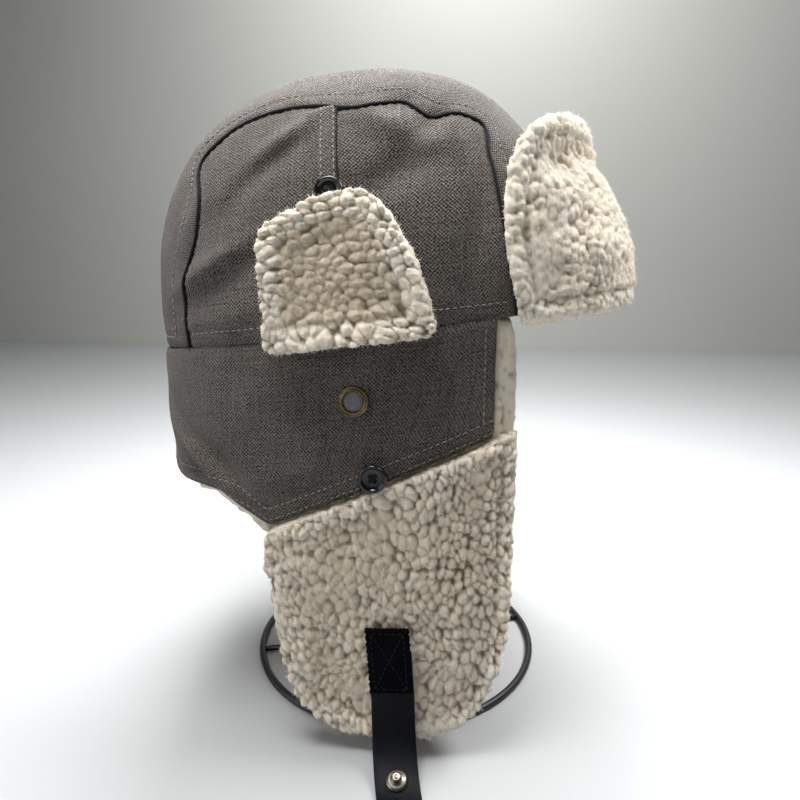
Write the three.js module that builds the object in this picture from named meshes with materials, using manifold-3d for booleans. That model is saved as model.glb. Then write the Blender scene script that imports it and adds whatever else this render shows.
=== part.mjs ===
// Aviator hat: a canvas crown with a wide front-to-back strip, a canvas band lined with curly fleece, two hanging
// ear flaps with chin straps, two ear covers buttoned up and a fleece visor that stands up in front of the crown.
// It hangs on a plain wire stand.
// Millimetres. +Z is up, the front of the hat faces -Y and the wearer's right is -X.
// The origin is the middle of the stand's underside, on the floor. The hat's own frame starts at the middle of the
// head opening, at the height of the seam between crown and band, and HAT_PLACE says where that is.
import * as THREE from 'three';
import Module from 'manifold-3d';
import { mergeVertices } from 'three/addons/utils/BufferGeometryUtils.js';

const wasm = await Module();
wasm.setup();

// Driving sizes of the hat's form: a rounded-oval plan and a boxy dome that leans back on the head
const FORM = { halfWidth: 92, halfLength: 110, planPower: 2.56, crownHeight: 127, wallPower: 2.31, topPower: 2.44 };
const CROWN_LEAN = THREE.MathUtils.degToRad(6.1);
const HAT_PLACE = { y: 11.5, z: 197 };
const GAP = 0.35; // between neighbouring pieces
const CANVAS = 1.8;
const FLEECE = 9;
const AROUND = 48; // segments round the plan
const SMOOTH = 0.18; // how far a triangle may stray when flat areas are merged
const REACH = 260; // half the length of a cutting block, beyond any piece

// How far each layer's outer face stands outside the crown's own face
const LAYER = { band: -0.5, lining: -2.65, flap: 5, coverBack: 2.4, cover: 12.2 };

// Outlines as they are seen from the side: y runs to the back, z up, and round is how far the corner is cut back
const SIDE_PANEL = [ // in the leaning crown
  { y: 77, z: -1, round: 0 }, { y: 68, z: 45, round: 12 }, { y: 60, z: 99.5, round: 16 },
  { y: -14, z: 96.5, round: 10 }, { y: -68.5, z: 88.5, round: 9 }, { y: -76, z: -1, round: 0 },
];
const BAND_OUTLINE = [
  { y: -67, z: 40, round: 0 }, { y: 140, z: 40, round: 0 }, { y: 140, z: -73, round: 0 },
  { y: 57, z: -74, round: 18 }, { y: 34, z: -87.5, round: 2 }, { y: -66.5, z: -44.5, round: 3 },
];
const LINING_OUTLINE = [
  { y: -71, z: 40, round: 0 }, { y: 140, z: 40, round: 0 }, { y: 140, z: -76.5, round: 0 },
  { y: 59, z: -77.5, round: 18 }, { y: 36, z: -94, round: 10 }, { y: 21.5, z: -186, round: 34 },
  { y: -60.5, z: -186, round: 31 }, { y: -74, z: -142, round: 14 }, { y: -76.5, z: -60, round: 20 }, { y: -76, z: -20, round: 10 },
];
const FLAP_OUTLINE = [
  { y: 34.5, z: -89, round: 2 }, { y: 36.5, z: -98, round: 6 }, { y: 22.5, z: -188.8, round: 36 },
  { y: -61, z: -188.6, round: 32 }, { y: -76.8, z: -142, round: 15 }, { y: -78, z: -41, round: 4 },
];
const COVER_OUTLINE = [ // in the leaning crown
  { y: 29, z: -5, round: 6 }, { y: 26.5, z: 47, round: 9 }, { y: 3, z: 56, round: 9 },
  { y: -21.5, z: 59.3, round: 13 }, { y: -37.3, z: 30.5, round: 14 }, { y: -44, z: -4, round: 7 },
];

// Creases of the cloth, as ridges seen from the side: slope is in degrees up from the back direction
const CROWN_FOLDS = [ // in the leaning crown
  { side: 'both', y: 58, z: 38, slope: 150, halfLength: 24, halfWidth: 6, lift: 2.6 },
  { side: 'both', y: 28, z: 76, slope: 152, halfLength: 22, halfWidth: 8, lift: 1.8 },
  { side: 'right', y: -32, z: 82, slope: 140, halfLength: 22, halfWidth: 8, lift: 2.4 },
  { side: 'left', y: -40, z: 76, slope: 128, halfLength: 20, halfWidth: 9, lift: 2.2 },
  { side: 'both', y: -26, z: 62, slope: 160, halfLength: 24, halfWidth: 9, lift: -2.6 },
  { side: 'both', y: -62, z: 48, slope: 95, halfLength: 30, halfWidth: 6, lift: -2.4 },
  { side: 'left', y: 40, z: 20, slope: 20, halfLength: 20, halfWidth: 9, lift: 1.6 },
];
const BAND_FOLDS = [
  { side: 'both', y: 68, z: -62, slope: 32, halfLength: 17, halfWidth: 5, lift: 2.4 },
  { side: 'both', y: 50, z: -72, slope: 52, halfLength: 14, halfWidth: 5, lift: 2.2 },
  { side: 'both', y: 60, z: -72, slope: 40, halfLength: 12, halfWidth: 5, lift: -2 },
  { side: 'both', y: -20, z: -36, slope: 155, halfLength: 40, halfWidth: 12, lift: -1 },
];

// The visor: an arch in plan that stands forward of the crown, with its lower edge rolled under to the seam.
// Each level of the leaning crown has the arch's reach to the front and its half width.
const VISOR = { centreY: -62, planPower: 2.2, thickness: 11, back: 2.2 };
const VISOR_END = [ // the visor's outline at the piping
  { y: -77, z: -8, round: 0 }, { y: -71.5, z: 30, round: 14 }, { y: -76, z: 85.5, round: 38 },
  { y: -260, z: 85.5, round: 0 }, { y: -260, z: -8, round: 0 },
];
const VISOR_LEVELS = [
  { z: -4.5, reach: 66, halfWidth: 77 }, { z: -1.5, reach: 74, halfWidth: 83 }, { z: 6, reach: 78, halfWidth: 85.5 },
  { z: 25, reach: 77.5, halfWidth: 86 }, { z: 44, reach: 70, halfWidth: 84.5 }, { z: 62, reach: 63.5, halfWidth: 82 },
  { z: 75.5, reach: 60.5, halfWidth: 80 }, { z: 84, reach: 55, halfWidth: 75 },
];

const EAR_SEAM_Y = -2.3; // the seam down each side of the crown
const PIPING = { radius: 1.15, sides: 6, steps: 38, proud: 0.5 };
const BUTTON = { radius: 6.3, thickness: 3, rim: 1.3, dish: 0.8, stem: 5, stemRadius: 1.2 };
const UPPER_BUTTON = { y: -2.8, z: 58.8 }; // in the leaning crown
const LOWER_BUTTON = { y: -15.9, z: -60.2 };
const SNAP_RING = { outer: 6.5, inner: 4.3, thickness: 1.1, y: -6.5, z: -28.2 };
const STRAP = {
  width: 20.2, thickness: 2, top: -142, length: 85, y: -22.9, lean: 0.066, bend: 30, bendLean: -0.06, bendCurve: 0.0031,
  endRound: 6,
};
const TAB = { width: 20, thickness: 1.5, top: -129, bottom: -161.8 };
const STUD = { flange: 4.8, post: 2.1, height: 3.6, fromTop: 60 };
const SOCKET = { outer: 5.6, bore: 2.4, height: 2.6 };
const STAND = {
  ringRadius: 82.2, wire: 1.9, barWire: 1.5, barTurn: 0.358, wireSides: 6, hubRadius: 11, hubThickness: 5, post: 3,
  headRadius: 30, headWire: 2,
};

const FLOOR = -HAT_PLACE.z; // in the hat's frame

const COLOUR = { canvas: 0x6f6761, fleece: 0xd8cdbb, piping: 0x16161a, gloss: 0x0b0b10, brass: 0x6b6350, leather: 0x14151c, stand: 0x1a1a1c };
const canvas = new THREE.MeshStandardMaterial({ color: COLOUR.canvas, roughness: 0.92 });
const fleece = new THREE.MeshStandardMaterial({ color: COLOUR.fleece, roughness: 1 });
const pipingCloth = new THREE.MeshStandardMaterial({ color: COLOUR.piping, roughness: 0.85 });
const buttonPlastic = new THREE.MeshStandardMaterial({ color: COLOUR.gloss, roughness: 0.2 });
const brass = new THREE.MeshStandardMaterial({ color: COLOUR.brass, roughness: 0.45, metalness: 0.9 });
const leather = new THREE.MeshStandardMaterial({ color: COLOUR.leather, roughness: 0.5 });
const webbing = new THREE.MeshStandardMaterial({ color: COLOUR.piping, roughness: 0.95 });
const standPaint = new THREE.MeshStandardMaterial({ color: COLOUR.stand, roughness: 0.45, metalness: 0.3 });

// A closed geometry as a solid for cutting and joining
function solid(geometry) {
  const bare = new THREE.BufferGeometry();
  const source = geometry.index ? geometry.toNonIndexed() : geometry;
  bare.setAttribute('position', source.getAttribute('position'));
  const merged = mergeVertices(bare, 1e-4);
  const index = merged.index.array;
  const faces = [];
  for (let i = 0; i < index.length; i += 3) {
    const [a, b, c] = [index[i], index[i + 1], index[i + 2]];
    if (a !== b && b !== c && a !== c) faces.push(a, b, c);
  }
  const make = (triVerts) => new wasm.Manifold(new wasm.Mesh({
    numProp: 3, vertProperties: merged.attributes.position.array, triVerts: new Uint32Array(triVerts),
  }));
  const made = make(faces);
  return made.volume() > 0 ? made : make(faces.reverse());
}

function mesh(name, body, material) {
  const out = body.simplify(SMOOTH).getMesh();
  const geometry = new THREE.BufferGeometry();
  geometry.setAttribute('position', new THREE.BufferAttribute(out.vertProperties, out.numProp));
  geometry.setIndex(new THREE.BufferAttribute(out.triVerts, 1));
  geometry.computeVertexNormals();
  const made = new THREE.Mesh(geometry, material);
  made.name = name;
  return made;
}

function mapVertices(geometry, place) {
  const position = geometry.getAttribute('position');
  const point = new THREE.Vector3();
  for (let i = 0; i < position.count; i++) {
    point.fromBufferAttribute(position, i);
    const moved = place(point);
    position.setXYZ(i, moved.x, moved.y, moved.z);
  }
  return geometry;
}

// Distance from the hat's axis to the oval plan, in direction angle
function planRadius(angle, halfWidth, halfLength, power) {
  const across = Math.abs(Math.cos(angle)) / halfWidth;
  const along = Math.abs(Math.sin(angle)) / halfLength;
  return (across ** power + along ** power) ** (-1 / power);
}

// How far the folds lift the cloth at a point of one side
function foldLift(folds, x, y, z) {
  let lift = 0;
  for (const fold of folds) {
    if (fold.side === 'right' && x > 0) continue;
    if (fold.side === 'left' && x < 0) continue;
    const slope = THREE.MathUtils.degToRad(fold.slope);
    const along = (y - fold.y) * Math.cos(slope) + (z - fold.z) * Math.sin(slope);
    const across = (z - fold.z) * Math.cos(slope) - (y - fold.y) * Math.sin(slope);
    lift += fold.lift * Math.exp(-((along / fold.halfLength) ** 2) - (across / fold.halfWidth) ** 2);
  }
  return lift * Math.min(1, Math.abs(x) / 40);
}

// A solid turned from a profile of [share of the plan, z] rows, with its plan drawn out to an oval
function ovalSolid(profile, plan, segments = AROUND) {
  const points = profile.map(([share, z]) => new THREE.Vector2(share, z));
  const lathe = new THREE.LatheGeometry(points, segments);
  return mapVertices(lathe, (p) => {
    const share = Math.hypot(p.x, p.z);
    const angle = Math.atan2(p.z, p.x);
    return plan(share, angle, p.y);
  });
}

// The crown's form, grown outwards by grow, with a straight wall below the seam
function crownForm(grow, below = 14) {
  const rows = 10;
  const profile = [[0, -below], [1, -below]];
  for (let i = 0; i <= rows; i++) {
    const turn = (i / rows) * Math.PI / 2;
    const share = i === rows ? 0 : Math.cos(turn) ** (2 / FORM.wallPower);
    profile.push([share, (FORM.crownHeight + grow) * Math.sin(turn) ** (2 / FORM.topPower)]);
  }
  return ovalSolid(profile, (share, angle, z) => {
    const wall = planRadius(angle, FORM.halfWidth + grow, FORM.halfLength + grow, FORM.planPower);
    const x = share * wall * Math.cos(angle);
    const y = share * wall * Math.sin(angle);
    const lift = share > 0 && z > 0 ? foldLift(CROWN_FOLDS, x, y, z) : 0;
    const scale = share > 0 ? 1 + lift / (share * wall) : 1;
    return new THREE.Vector3(x * scale, y * scale, z);
  });
}

// The hanging part's form: straight down from the seam, with the flaps flattening out towards their ends
const SKIRT = { longer: 1.9, flatFrom: -60, flatTo: -150, flatPower: 3.3, tuck: 2.5, tuckFrom: -35, tuckTo: -80 };
const SKIRT_LEVELS = [-206, -150, -120, -94, -80, -70, -60, -49, -36, -18, 34];
function skirtForm(grow) {
  const profile = SKIRT_LEVELS.map((z) => [1, z]);
  profile.unshift([0, SKIRT_LEVELS[0]]);
  profile.push([0, SKIRT_LEVELS[SKIRT_LEVELS.length - 1]]);
  return ovalSolid(profile, (share, angle, z) => {
    const flat = THREE.MathUtils.smoothstep(-z, -SKIRT.flatFrom, -SKIRT.flatTo);
    const power = THREE.MathUtils.lerp(FORM.planPower, SKIRT.flatPower, flat);
    const tucked = SKIRT.tuck * THREE.MathUtils.smoothstep(-z, -SKIRT.tuckFrom, -SKIRT.tuckTo);
    const length = FORM.halfLength + SKIRT.longer + grow - tucked;
    const wall = planRadius(angle, FORM.halfWidth + grow, length, power);
    const x = share * wall * Math.cos(angle);
    const y = share * wall * Math.sin(angle);
    const scale = share > 0 ? 1 + foldLift(BAND_FOLDS, x, y, z) / wall : 1;
    return new THREE.Vector3(x * scale, y * scale, z);
  });
}

// A block whose section is an outline seen from the side, from x = from to x = to
function sideBlock(outline, from, to, inset = 0) {
  const corners = inset ? insetOutline(outline, inset) : outline;
  const shape = new THREE.Shape();
  corners.forEach((corner, i) => {
    const before = corners[(i + corners.length - 1) % corners.length];
    const after = corners[(i + 1) % corners.length];
    const at = new THREE.Vector2(corner.y, corner.z);
    const toBefore = new THREE.Vector2(before.y, before.z).sub(at);
    const toAfter = new THREE.Vector2(after.y, after.z).sub(at);
    const start = at.clone().addScaledVector(toBefore.normalize(), corner.round);
    const end = at.clone().addScaledVector(toAfter.normalize(), corner.round);
    if (i === 0) shape.moveTo(start.x, start.y);
    else shape.lineTo(start.x, start.y);
    if (corner.round) shape.quadraticCurveTo(at.x, at.y, end.x, end.y);
  });
  shape.closePath();
  const block = new THREE.ExtrudeGeometry(shape, { depth: to - from, bevelEnabled: false, curveSegments: 5 });
  return solid(mapVertices(block, (p) => new THREE.Vector3(p.z + from, p.x, p.y)));
}

// The same outline drawn in by a margin on every side
function insetOutline(outline, margin) {
  const area = outline.reduce((sum, p, i) => {
    const q = outline[(i + 1) % outline.length];
    return sum + p.y * q.z - q.y * p.z;
  }, 0);
  const turn = Math.sign(area);
  return outline.map((corner, i) => {
    const before = outline[(i + outline.length - 1) % outline.length];
    const after = outline[(i + 1) % outline.length];
    const a = new THREE.Vector2(corner.y - before.y, corner.z - before.z).normalize();
    const b = new THREE.Vector2(after.y - corner.y, after.z - corner.z).normalize();
    const normalA = new THREE.Vector2(-a.y, a.x).multiplyScalar(turn);
    const normalB = new THREE.Vector2(-b.y, b.x).multiplyScalar(turn);
    const bisector = normalA.clone().add(normalB);
    const move = bisector.multiplyScalar(2 * margin / bisector.lengthSq());
    return { ...corner, y: corner.y + move.x, z: corner.z + move.y };
  });
}

function box(x0, x1, y0, y1, z0, z1) {
  const block = new THREE.BoxGeometry(x1 - x0, y1 - y0, z1 - z0);
  return solid(block.translate((x0 + x1) / 2, (y0 + y1) / 2, (z0 + z1) / 2));
}

const crown = new THREE.Group(); // leans back with the crown
crown.rotation.x = -CROWN_LEAN;
const hanging = new THREE.Group(); // hangs straight down
const hat = new THREE.Group();
hat.position.set(0, HAT_PLACE.y, HAT_PLACE.z);
hat.add(crown, hanging);

// Everything below the leaning seam plane, in the upright frame
const belowSeam = solid(new THREE.BoxGeometry(2 * REACH, 2 * REACH, 2 * REACH)
  .translate(0, 0, -REACH - GAP).rotateX(-CROWN_LEAN));

// Crown: the strip over the top and two panels on each side, cut from one shell
const aboveSeam = box(-REACH, REACH, -REACH, REACH, 0, REACH);
const crownShell = solid(crownForm(0)).subtract(solid(crownForm(-CANVAS, 20))).intersect(aboveSeam);
const seamRoom = PIPING.radius + GAP;
const strip = crownShell.subtract(sideBlock(SIDE_PANEL, -REACH, REACH, -seamRoom));
crown.add(mesh('crown_centre_strip', strip, canvas));
const panels = crownShell.intersect(sideBlock(SIDE_PANEL, -REACH, REACH, seamRoom));
const halves = [['front', -REACH, EAR_SEAM_Y - GAP / 2], ['back', EAR_SEAM_Y + GAP / 2, REACH]];
for (const [side, x0, x1] of [['right', -REACH, 0], ['left', 0, REACH]]) {
  for (const [half, y0, y1] of halves) {
    const panel = panels.intersect(box(x0, x1, y0, y1, -1, REACH));
    crown.add(mesh(`crown_side_${side}_${half}`, panel, canvas));
  }
}

// Where the crown's face is, at a point seen from the side
function crownX(y, z, grow = 0) {
  const height = Math.max(0, z) / (FORM.crownHeight + grow);
  const share = (1 - height ** FORM.topPower) ** (1 / FORM.wallPower);
  const along = Math.abs(y) / (FORM.halfLength + grow);
  const across = Math.max(0, share ** FORM.planPower - along ** FORM.planPower) ** (1 / FORM.planPower);
  return across * (FORM.halfWidth + grow) + foldLift(CROWN_FOLDS, -FORM.halfWidth, y, z);
}

// Piping: a cord in the seam between the strip and the side panels
const seamPath = new THREE.Path();
SIDE_PANEL.forEach((corner, i) => {
  if (i === 0) seamPath.moveTo(corner.y, GAP);
  else if (i === SIDE_PANEL.length - 1) seamPath.lineTo(corner.y, GAP);
  else {
    const [before, after] = [SIDE_PANEL[i - 1], SIDE_PANEL[i + 1]];
    const at = new THREE.Vector2(corner.y, corner.z);
    const back = new THREE.Vector2(before.y, before.z).sub(at).setLength(corner.round).add(at);
    const on = new THREE.Vector2(after.y, after.z).sub(at).setLength(corner.round).add(at);
    seamPath.lineTo(back.x, back.y);
    seamPath.quadraticCurveTo(at.x, at.y, on.x, on.y);
  }
});
function roundSection(radius, sides) {
  const section = new THREE.Shape();
  for (let i = 0; i < sides; i++) {
    const turn = ((i + 0.5) / sides) * 2 * Math.PI;
    const [x, y] = [radius * Math.cos(turn), radius * Math.sin(turn)];
    if (i === 0) section.moveTo(x, y);
    else section.lineTo(x, y);
  }
  section.closePath();
  return section;
}
function pipingCord(sign, radius) {
  const route = seamPath.getSpacedPoints(PIPING.steps)
    .map((p) => new THREE.Vector3(sign * (crownX(p.x, p.y) - PIPING.radius + PIPING.proud), p.x, p.y));
  const cord = new THREE.ExtrudeGeometry(roundSection(radius, PIPING.sides), {
    steps: PIPING.steps, extrudePath: new THREE.CatmullRomCurve3(route), bevelEnabled: false,
  });
  return solid(cord);
}
for (const [side, sign] of [['right', -1], ['left', 1]]) {
  crown.add(mesh(`piping_${side}`, pipingCord(sign, PIPING.radius).intersect(aboveSeam), pipingCloth));
}

// Band and lining: open in front, one piece each from temple to temple round the neck
const bandShell = solid(skirtForm(LAYER.band)).subtract(solid(skirtForm(LAYER.band - CANVAS)));
const band = bandShell.intersect(sideBlock(BAND_OUTLINE, -REACH, REACH)).intersect(belowSeam);
hanging.add(mesh('side_band', band, canvas));
const liningShell = solid(skirtForm(LAYER.lining)).subtract(solid(skirtForm(LAYER.lining - FLEECE)));
hanging.add(mesh('flap_lining', liningShell.intersect(sideBlock(LINING_OUTLINE, -REACH, REACH)).intersect(belowSeam), fleece));

// Ear flaps: the outer fleece below the band's slanting edge
const flapShell = solid(skirtForm(LAYER.flap)).subtract(solid(skirtForm(LAYER.lining + GAP)));
for (const [side, x0, x1] of [['right', -REACH, 0], ['left', 0, REACH]]) {
  const flap = flapShell.intersect(sideBlock(FLAP_OUTLINE, x0, x1)).subtract(sideBlock(BAND_OUTLINE, x0, x1, -GAP));
  hanging.add(mesh(`ear_flap_${side}`, flap, fleece));
}

// Where the upper button sits on the crown, and the room it needs inside the ear cover
function upperButton(sign) {
  const { y, z } = UPPER_BUTTON;
  const step = 4;
  const slope = (crownX(y, z - step) - crownX(y, z + step)) / (2 * step);
  const outward = new THREE.Vector3(sign, 0, slope).normalize();
  const place = new THREE.Vector3(sign * crownX(y, z), y, z).addScaledVector(outward, 2 * GAP);
  return { place, outward };
}
function buttonRoom(sign) {
  const { place, outward } = upperButton(sign);
  const room = new THREE.CylinderGeometry(BUTTON.radius + GAP, BUTTON.radius + GAP, BUTTON.thickness + 6, 16);
  room.applyQuaternion(new THREE.Quaternion().setFromUnitVectors(new THREE.Vector3(0, 1, 0), outward));
  const middle = place.addScaledVector(outward, BUTTON.thickness / 2 + GAP - 3);
  return solid(room.translate(middle.x, middle.y, middle.z));
}

// Ear covers: canvas outside, fleece inside, turned up over the crown so that the fleece shows
const coverShell = solid(crownForm(LAYER.cover)).subtract(solid(crownForm(LAYER.coverBack + GAP, 20)));
const coverBackShell = solid(crownForm(LAYER.coverBack)).subtract(solid(crownForm(LAYER.coverBack - CANVAS, 20)));
for (const [side, x0, x1] of [['right', -REACH, 0], ['left', 0, REACH]]) {
  const outline = sideBlock(COVER_OUTLINE, x0, x1);
  const backOutline = sideBlock(COVER_OUTLINE, x0, x1, 1.5);
  const room = buttonRoom(x0 < 0 ? -1 : 1);
  crown.add(mesh(`ear_cover_${side}`, coverShell.intersect(outline).subtract(room), fleece));
  crown.add(mesh(`ear_cover_back_${side}`, coverBackShell.intersect(backOutline).subtract(room), canvas));
}

// Visor: fleece in front and canvas behind, from one piping to the other
function visorForm(shrink, floorRise, openTop) {
  const bottom = VISOR_LEVELS[0].z + floorRise;
  const top = VISOR_LEVELS[VISOR_LEVELS.length - 1].z + openTop;
  const level = (z) => {
    let i = 1;
    while (i < VISOR_LEVELS.length - 1 && VISOR_LEVELS[i].z < z) i++;
    const [a, b] = [VISOR_LEVELS[i - 1], VISOR_LEVELS[i]];
    const share = THREE.MathUtils.clamp((z - a.z) / (b.z - a.z), 0, 1);
    return {
      reach: THREE.MathUtils.lerp(a.reach, b.reach, share) - shrink,
      halfWidth: THREE.MathUtils.lerp(a.halfWidth, b.halfWidth, share) - shrink,
    };
  };
  const profile = [[0, bottom]];
  for (const row of VISOR_LEVELS) {
    profile.push([1, THREE.MathUtils.clamp(row.z, bottom + (profile.length - 1) * 0.01, top)]);
  }
  if (openTop) profile.push([1, top]);
  profile.push([0, top]);
  return solid(ovalSolid(profile, (share, angle, z) => {
    const { reach, halfWidth } = level(z);
    const wall = planRadius(angle, halfWidth, reach, VISOR.planPower);
    return new THREE.Vector3(share * wall * Math.cos(angle), VISOR.centreY + share * wall * Math.sin(angle), z);
  }, 34));
}
const besideCrown = solid(crownForm(GAP + 0.3, 20))
  .add(pipingCord(-1, PIPING.radius + GAP)).add(pipingCord(1, PIPING.radius + GAP));
const innerFace = VISOR.thickness + GAP;
const visorFleece = visorForm(0, 0, 0).subtract(visorForm(VISOR.thickness, FLEECE, 5))
  .intersect(sideBlock(VISOR_END, -REACH, REACH)).subtract(besideCrown);
crown.add(mesh('visor', visorFleece, fleece));
const visorCanvas = visorForm(innerFace, FLEECE + GAP, -3)
  .subtract(visorForm(innerFace + VISOR.back, FLEECE + GAP + VISOR.back, 5))
  .intersect(sideBlock(VISOR_END, -REACH, REACH, 2)).subtract(besideCrown);
crown.add(mesh('visor_back', visorCanvas, canvas));

// A turned piece whose axis points along normal, with its back at place
function turned(name, profile, segments, material, place, normal) {
  const lathe = new THREE.LatheGeometry(profile.map(([r, z]) => new THREE.Vector2(r, z)), segments);
  const made = mesh(name, solid(lathe), material);
  made.position.copy(place);
  made.quaternion.setFromUnitVectors(new THREE.Vector3(0, 1, 0), normal.clone().normalize());
  return made;
}

// Where a straight wall of the hanging part is, at a point seen from the side, and its outward direction
function wallAt(sign, y, z, grow) {
  const flat = THREE.MathUtils.smoothstep(-z, -SKIRT.flatFrom, -SKIRT.flatTo);
  const power = THREE.MathUtils.lerp(FORM.planPower, SKIRT.flatPower, flat);
  const [a, b] = [FORM.halfWidth + grow, FORM.halfLength + SKIRT.longer + grow];
  const x = a * (1 - (Math.abs(y) / b) ** power) ** (1 / power) + foldLift(BAND_FOLDS, sign * a, y, z);
  const normal = new THREE.Vector3(
    sign * (x / a) ** (power - 1) / a, Math.sign(y) * (Math.abs(y) / b) ** (power - 1) / b, 0).normalize();
  return { place: new THREE.Vector3(sign * x, y, z), normal };
}
function offWall(sign, y, z, grow, lift) {
  const wall = wallAt(sign, y, z, grow);
  return { place: wall.place.addScaledVector(wall.normal, lift), normal: wall.normal };
}

const buttonProfile = [
  [0, 0], [BUTTON.radius - 1, 0], [BUTTON.radius, BUTTON.thickness * 0.45], [BUTTON.radius - 0.5, BUTTON.thickness],
  [BUTTON.radius - BUTTON.rim, BUTTON.thickness], [BUTTON.radius - BUTTON.rim - 0.7, BUTTON.thickness - BUTTON.dish],
  [0, BUTTON.thickness - BUTTON.dish],
];
const stemmedProfile = [[0, -BUTTON.stem], [BUTTON.stemRadius, -BUTTON.stem], [BUTTON.stemRadius, 0], ...buttonProfile.slice(1)];
const ringProfile = [
  [SNAP_RING.inner, 0], [SNAP_RING.outer, 0], [SNAP_RING.outer, SNAP_RING.thickness * 0.5],
  [SNAP_RING.outer - 0.8, SNAP_RING.thickness], [SNAP_RING.inner + 0.4, SNAP_RING.thickness], [SNAP_RING.inner, 0],
];
const studProfile = [
  [0, 0], [STUD.flange, 0], [STUD.flange, 0.6], [STUD.post + 0.5, 1], [STUD.post - 0.3, 1.8],
  [STUD.post, STUD.height - 0.6], [STUD.post - 0.5, STUD.height], [0, STUD.height],
];
const socketProfile = [
  [SOCKET.bore, 0.5], [0, 0.5], [0, 0], [SOCKET.outer, 0], [SOCKET.outer, SOCKET.height * 0.6],
  [SOCKET.outer - 1.2, SOCKET.height], [SOCKET.bore, SOCKET.height], [SOCKET.bore, 0.5],
];

// Straps: a leather strap sewn to each flap under a square of webbing. It hangs to the floor and lies on it.
function strapFrame(sign) {
  const wall = wallAt(sign, STRAP.y, STRAP.top, LAYER.flap);
  return { ...wall, tangent: new THREE.Vector3(0, 0, 1).cross(wall.normal).multiplyScalar(sign) };
}
// A place on the strap: along is its length from the top, across runs to the back, lift is off its inner face
function onStrap(sign, along, across, lift) {
  const { place, normal, tangent } = strapFrame(sign);
  const straight = STRAP.top - (FLOOR + STRAP.bend);
  const turn = THREE.MathUtils.clamp((along - straight) / STRAP.bend, 0, Math.PI / 2);
  const onFloor = Math.max(0, along - straight - STRAP.bend * Math.PI / 2);
  const radius = STRAP.bend - lift;
  const out = GAP + STRAP.bend - radius * Math.cos(turn) + onFloor;
  const z = STRAP.top - Math.min(along, straight) - radius * Math.sin(turn) - STRAP.lean * across * Math.cos(turn) ** 2;
  const bent = Math.max(0, along - straight);
  const sideways = across - STRAP.lean * along - STRAP.bendLean * bent - STRAP.bendCurve * bent ** 2;
  return place.clone().setZ(z).addScaledVector(normal, out).addScaledVector(tangent, sideways);
}
function strapDirection(sign, along) {
  return onStrap(sign, along, 0, 1).sub(onStrap(sign, along, 0, 0)).normalize();
}
function strapSolid(sign) {
  const rows = 18;
  const block = new THREE.BoxGeometry(STRAP.width, 1, STRAP.thickness, 2, rows, 1);
  return solid(mapVertices(block, (p) => {
    const along = STRAP.length * Math.sin((0.5 - p.y) * Math.PI / 2);
    const nearEnd = Math.max(0, along - STRAP.length + STRAP.endRound) / STRAP.endRound;
    const pinch = STRAP.endRound * (1 - Math.sqrt(1 - nearEnd ** 2));
    const half = STRAP.width / 2;
    const across = p.x * (half - pinch) / half;
    return onStrap(sign, along, across, p.z + STRAP.thickness / 2);
  }));
}
function tabSolid(sign) {
  const length = TAB.top - TAB.bottom;
  const block = new THREE.BoxGeometry(TAB.width, length, TAB.thickness);
  return solid(mapVertices(block, (p) => {
    const along = length / 2 - p.y - (TAB.top - STRAP.top);
    return onStrap(sign, along, p.x, p.z + TAB.thickness / 2 + STRAP.thickness + GAP);
  }));
}

for (const [side, sign] of [['right', -1], ['left', 1]]) {
  const top = upperButton(sign);
  crown.add(turned(`button_upper_${side}`, buttonProfile, 14, buttonPlastic, top.place, top.outward));
  const low = offWall(sign, LOWER_BUTTON.y, LOWER_BUTTON.z, LAYER.flap, GAP / 2);
  hanging.add(turned(`button_lower_${side}`, stemmedProfile, 14, buttonPlastic, low.place, low.normal));
  const snap = offWall(sign, SNAP_RING.y, SNAP_RING.z, LAYER.band, GAP);
  hanging.add(turned(`snap_ring_${side}`, ringProfile, 18, brass, snap.place, snap.normal));

  hanging.add(mesh(`chin_strap_${side}`, strapSolid(sign), leather));
  hanging.add(mesh(`strap_tab_${side}`, tabSolid(sign), webbing));
  const hollow = (side === 'right' ? STUD.flange : SOCKET.outer) ** 2 / 2 / (STRAP.bend - STRAP.thickness);
  const place = onStrap(sign, STUD.fromTop, 0, STRAP.thickness + GAP + hollow);
  const snapPart = side === 'right' ? ['snap_stud_right', studProfile] : ['snap_socket_left', socketProfile];
  hanging.add(turned(snapPart[0], snapPart[1], 14, brass, place, strapDirection(sign, STUD.fromTop)));
}

// Stand: a wire ring on the floor with two bars across it, a post and a round head under the crown
function ring(radius, wireRadius, z, segments) {
  const half = wireRadius / Math.cos(Math.PI / STAND.wireSides);
  const profile = [];
  for (let i = 0; i <= STAND.wireSides; i++) {
    const turn = (i / STAND.wireSides) * 2 * Math.PI;
    profile.push(new THREE.Vector2(radius + half * Math.cos(turn), half * Math.sin(turn)));
  }
  return solid(new THREE.LatheGeometry(profile, segments).rotateX(Math.PI / 2).translate(0, 0, z));
}
function upright(radius, z0, z1, sides) {
  const cylinder = new THREE.CylinderGeometry(radius, radius, z1 - z0, sides);
  return solid(cylinder.rotateX(Math.PI / 2).translate(0, 0, (z0 + z1) / 2));
}
function bar(radius, reach, z, turn) {
  const half = radius / Math.cos(Math.PI / STAND.wireSides);
  const rod = new THREE.CylinderGeometry(half, half, 2 * reach, STAND.wireSides).rotateY(Math.PI / STAND.wireSides);
  return solid(rod.rotateZ(turn).translate(0, 0, z));
}
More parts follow.
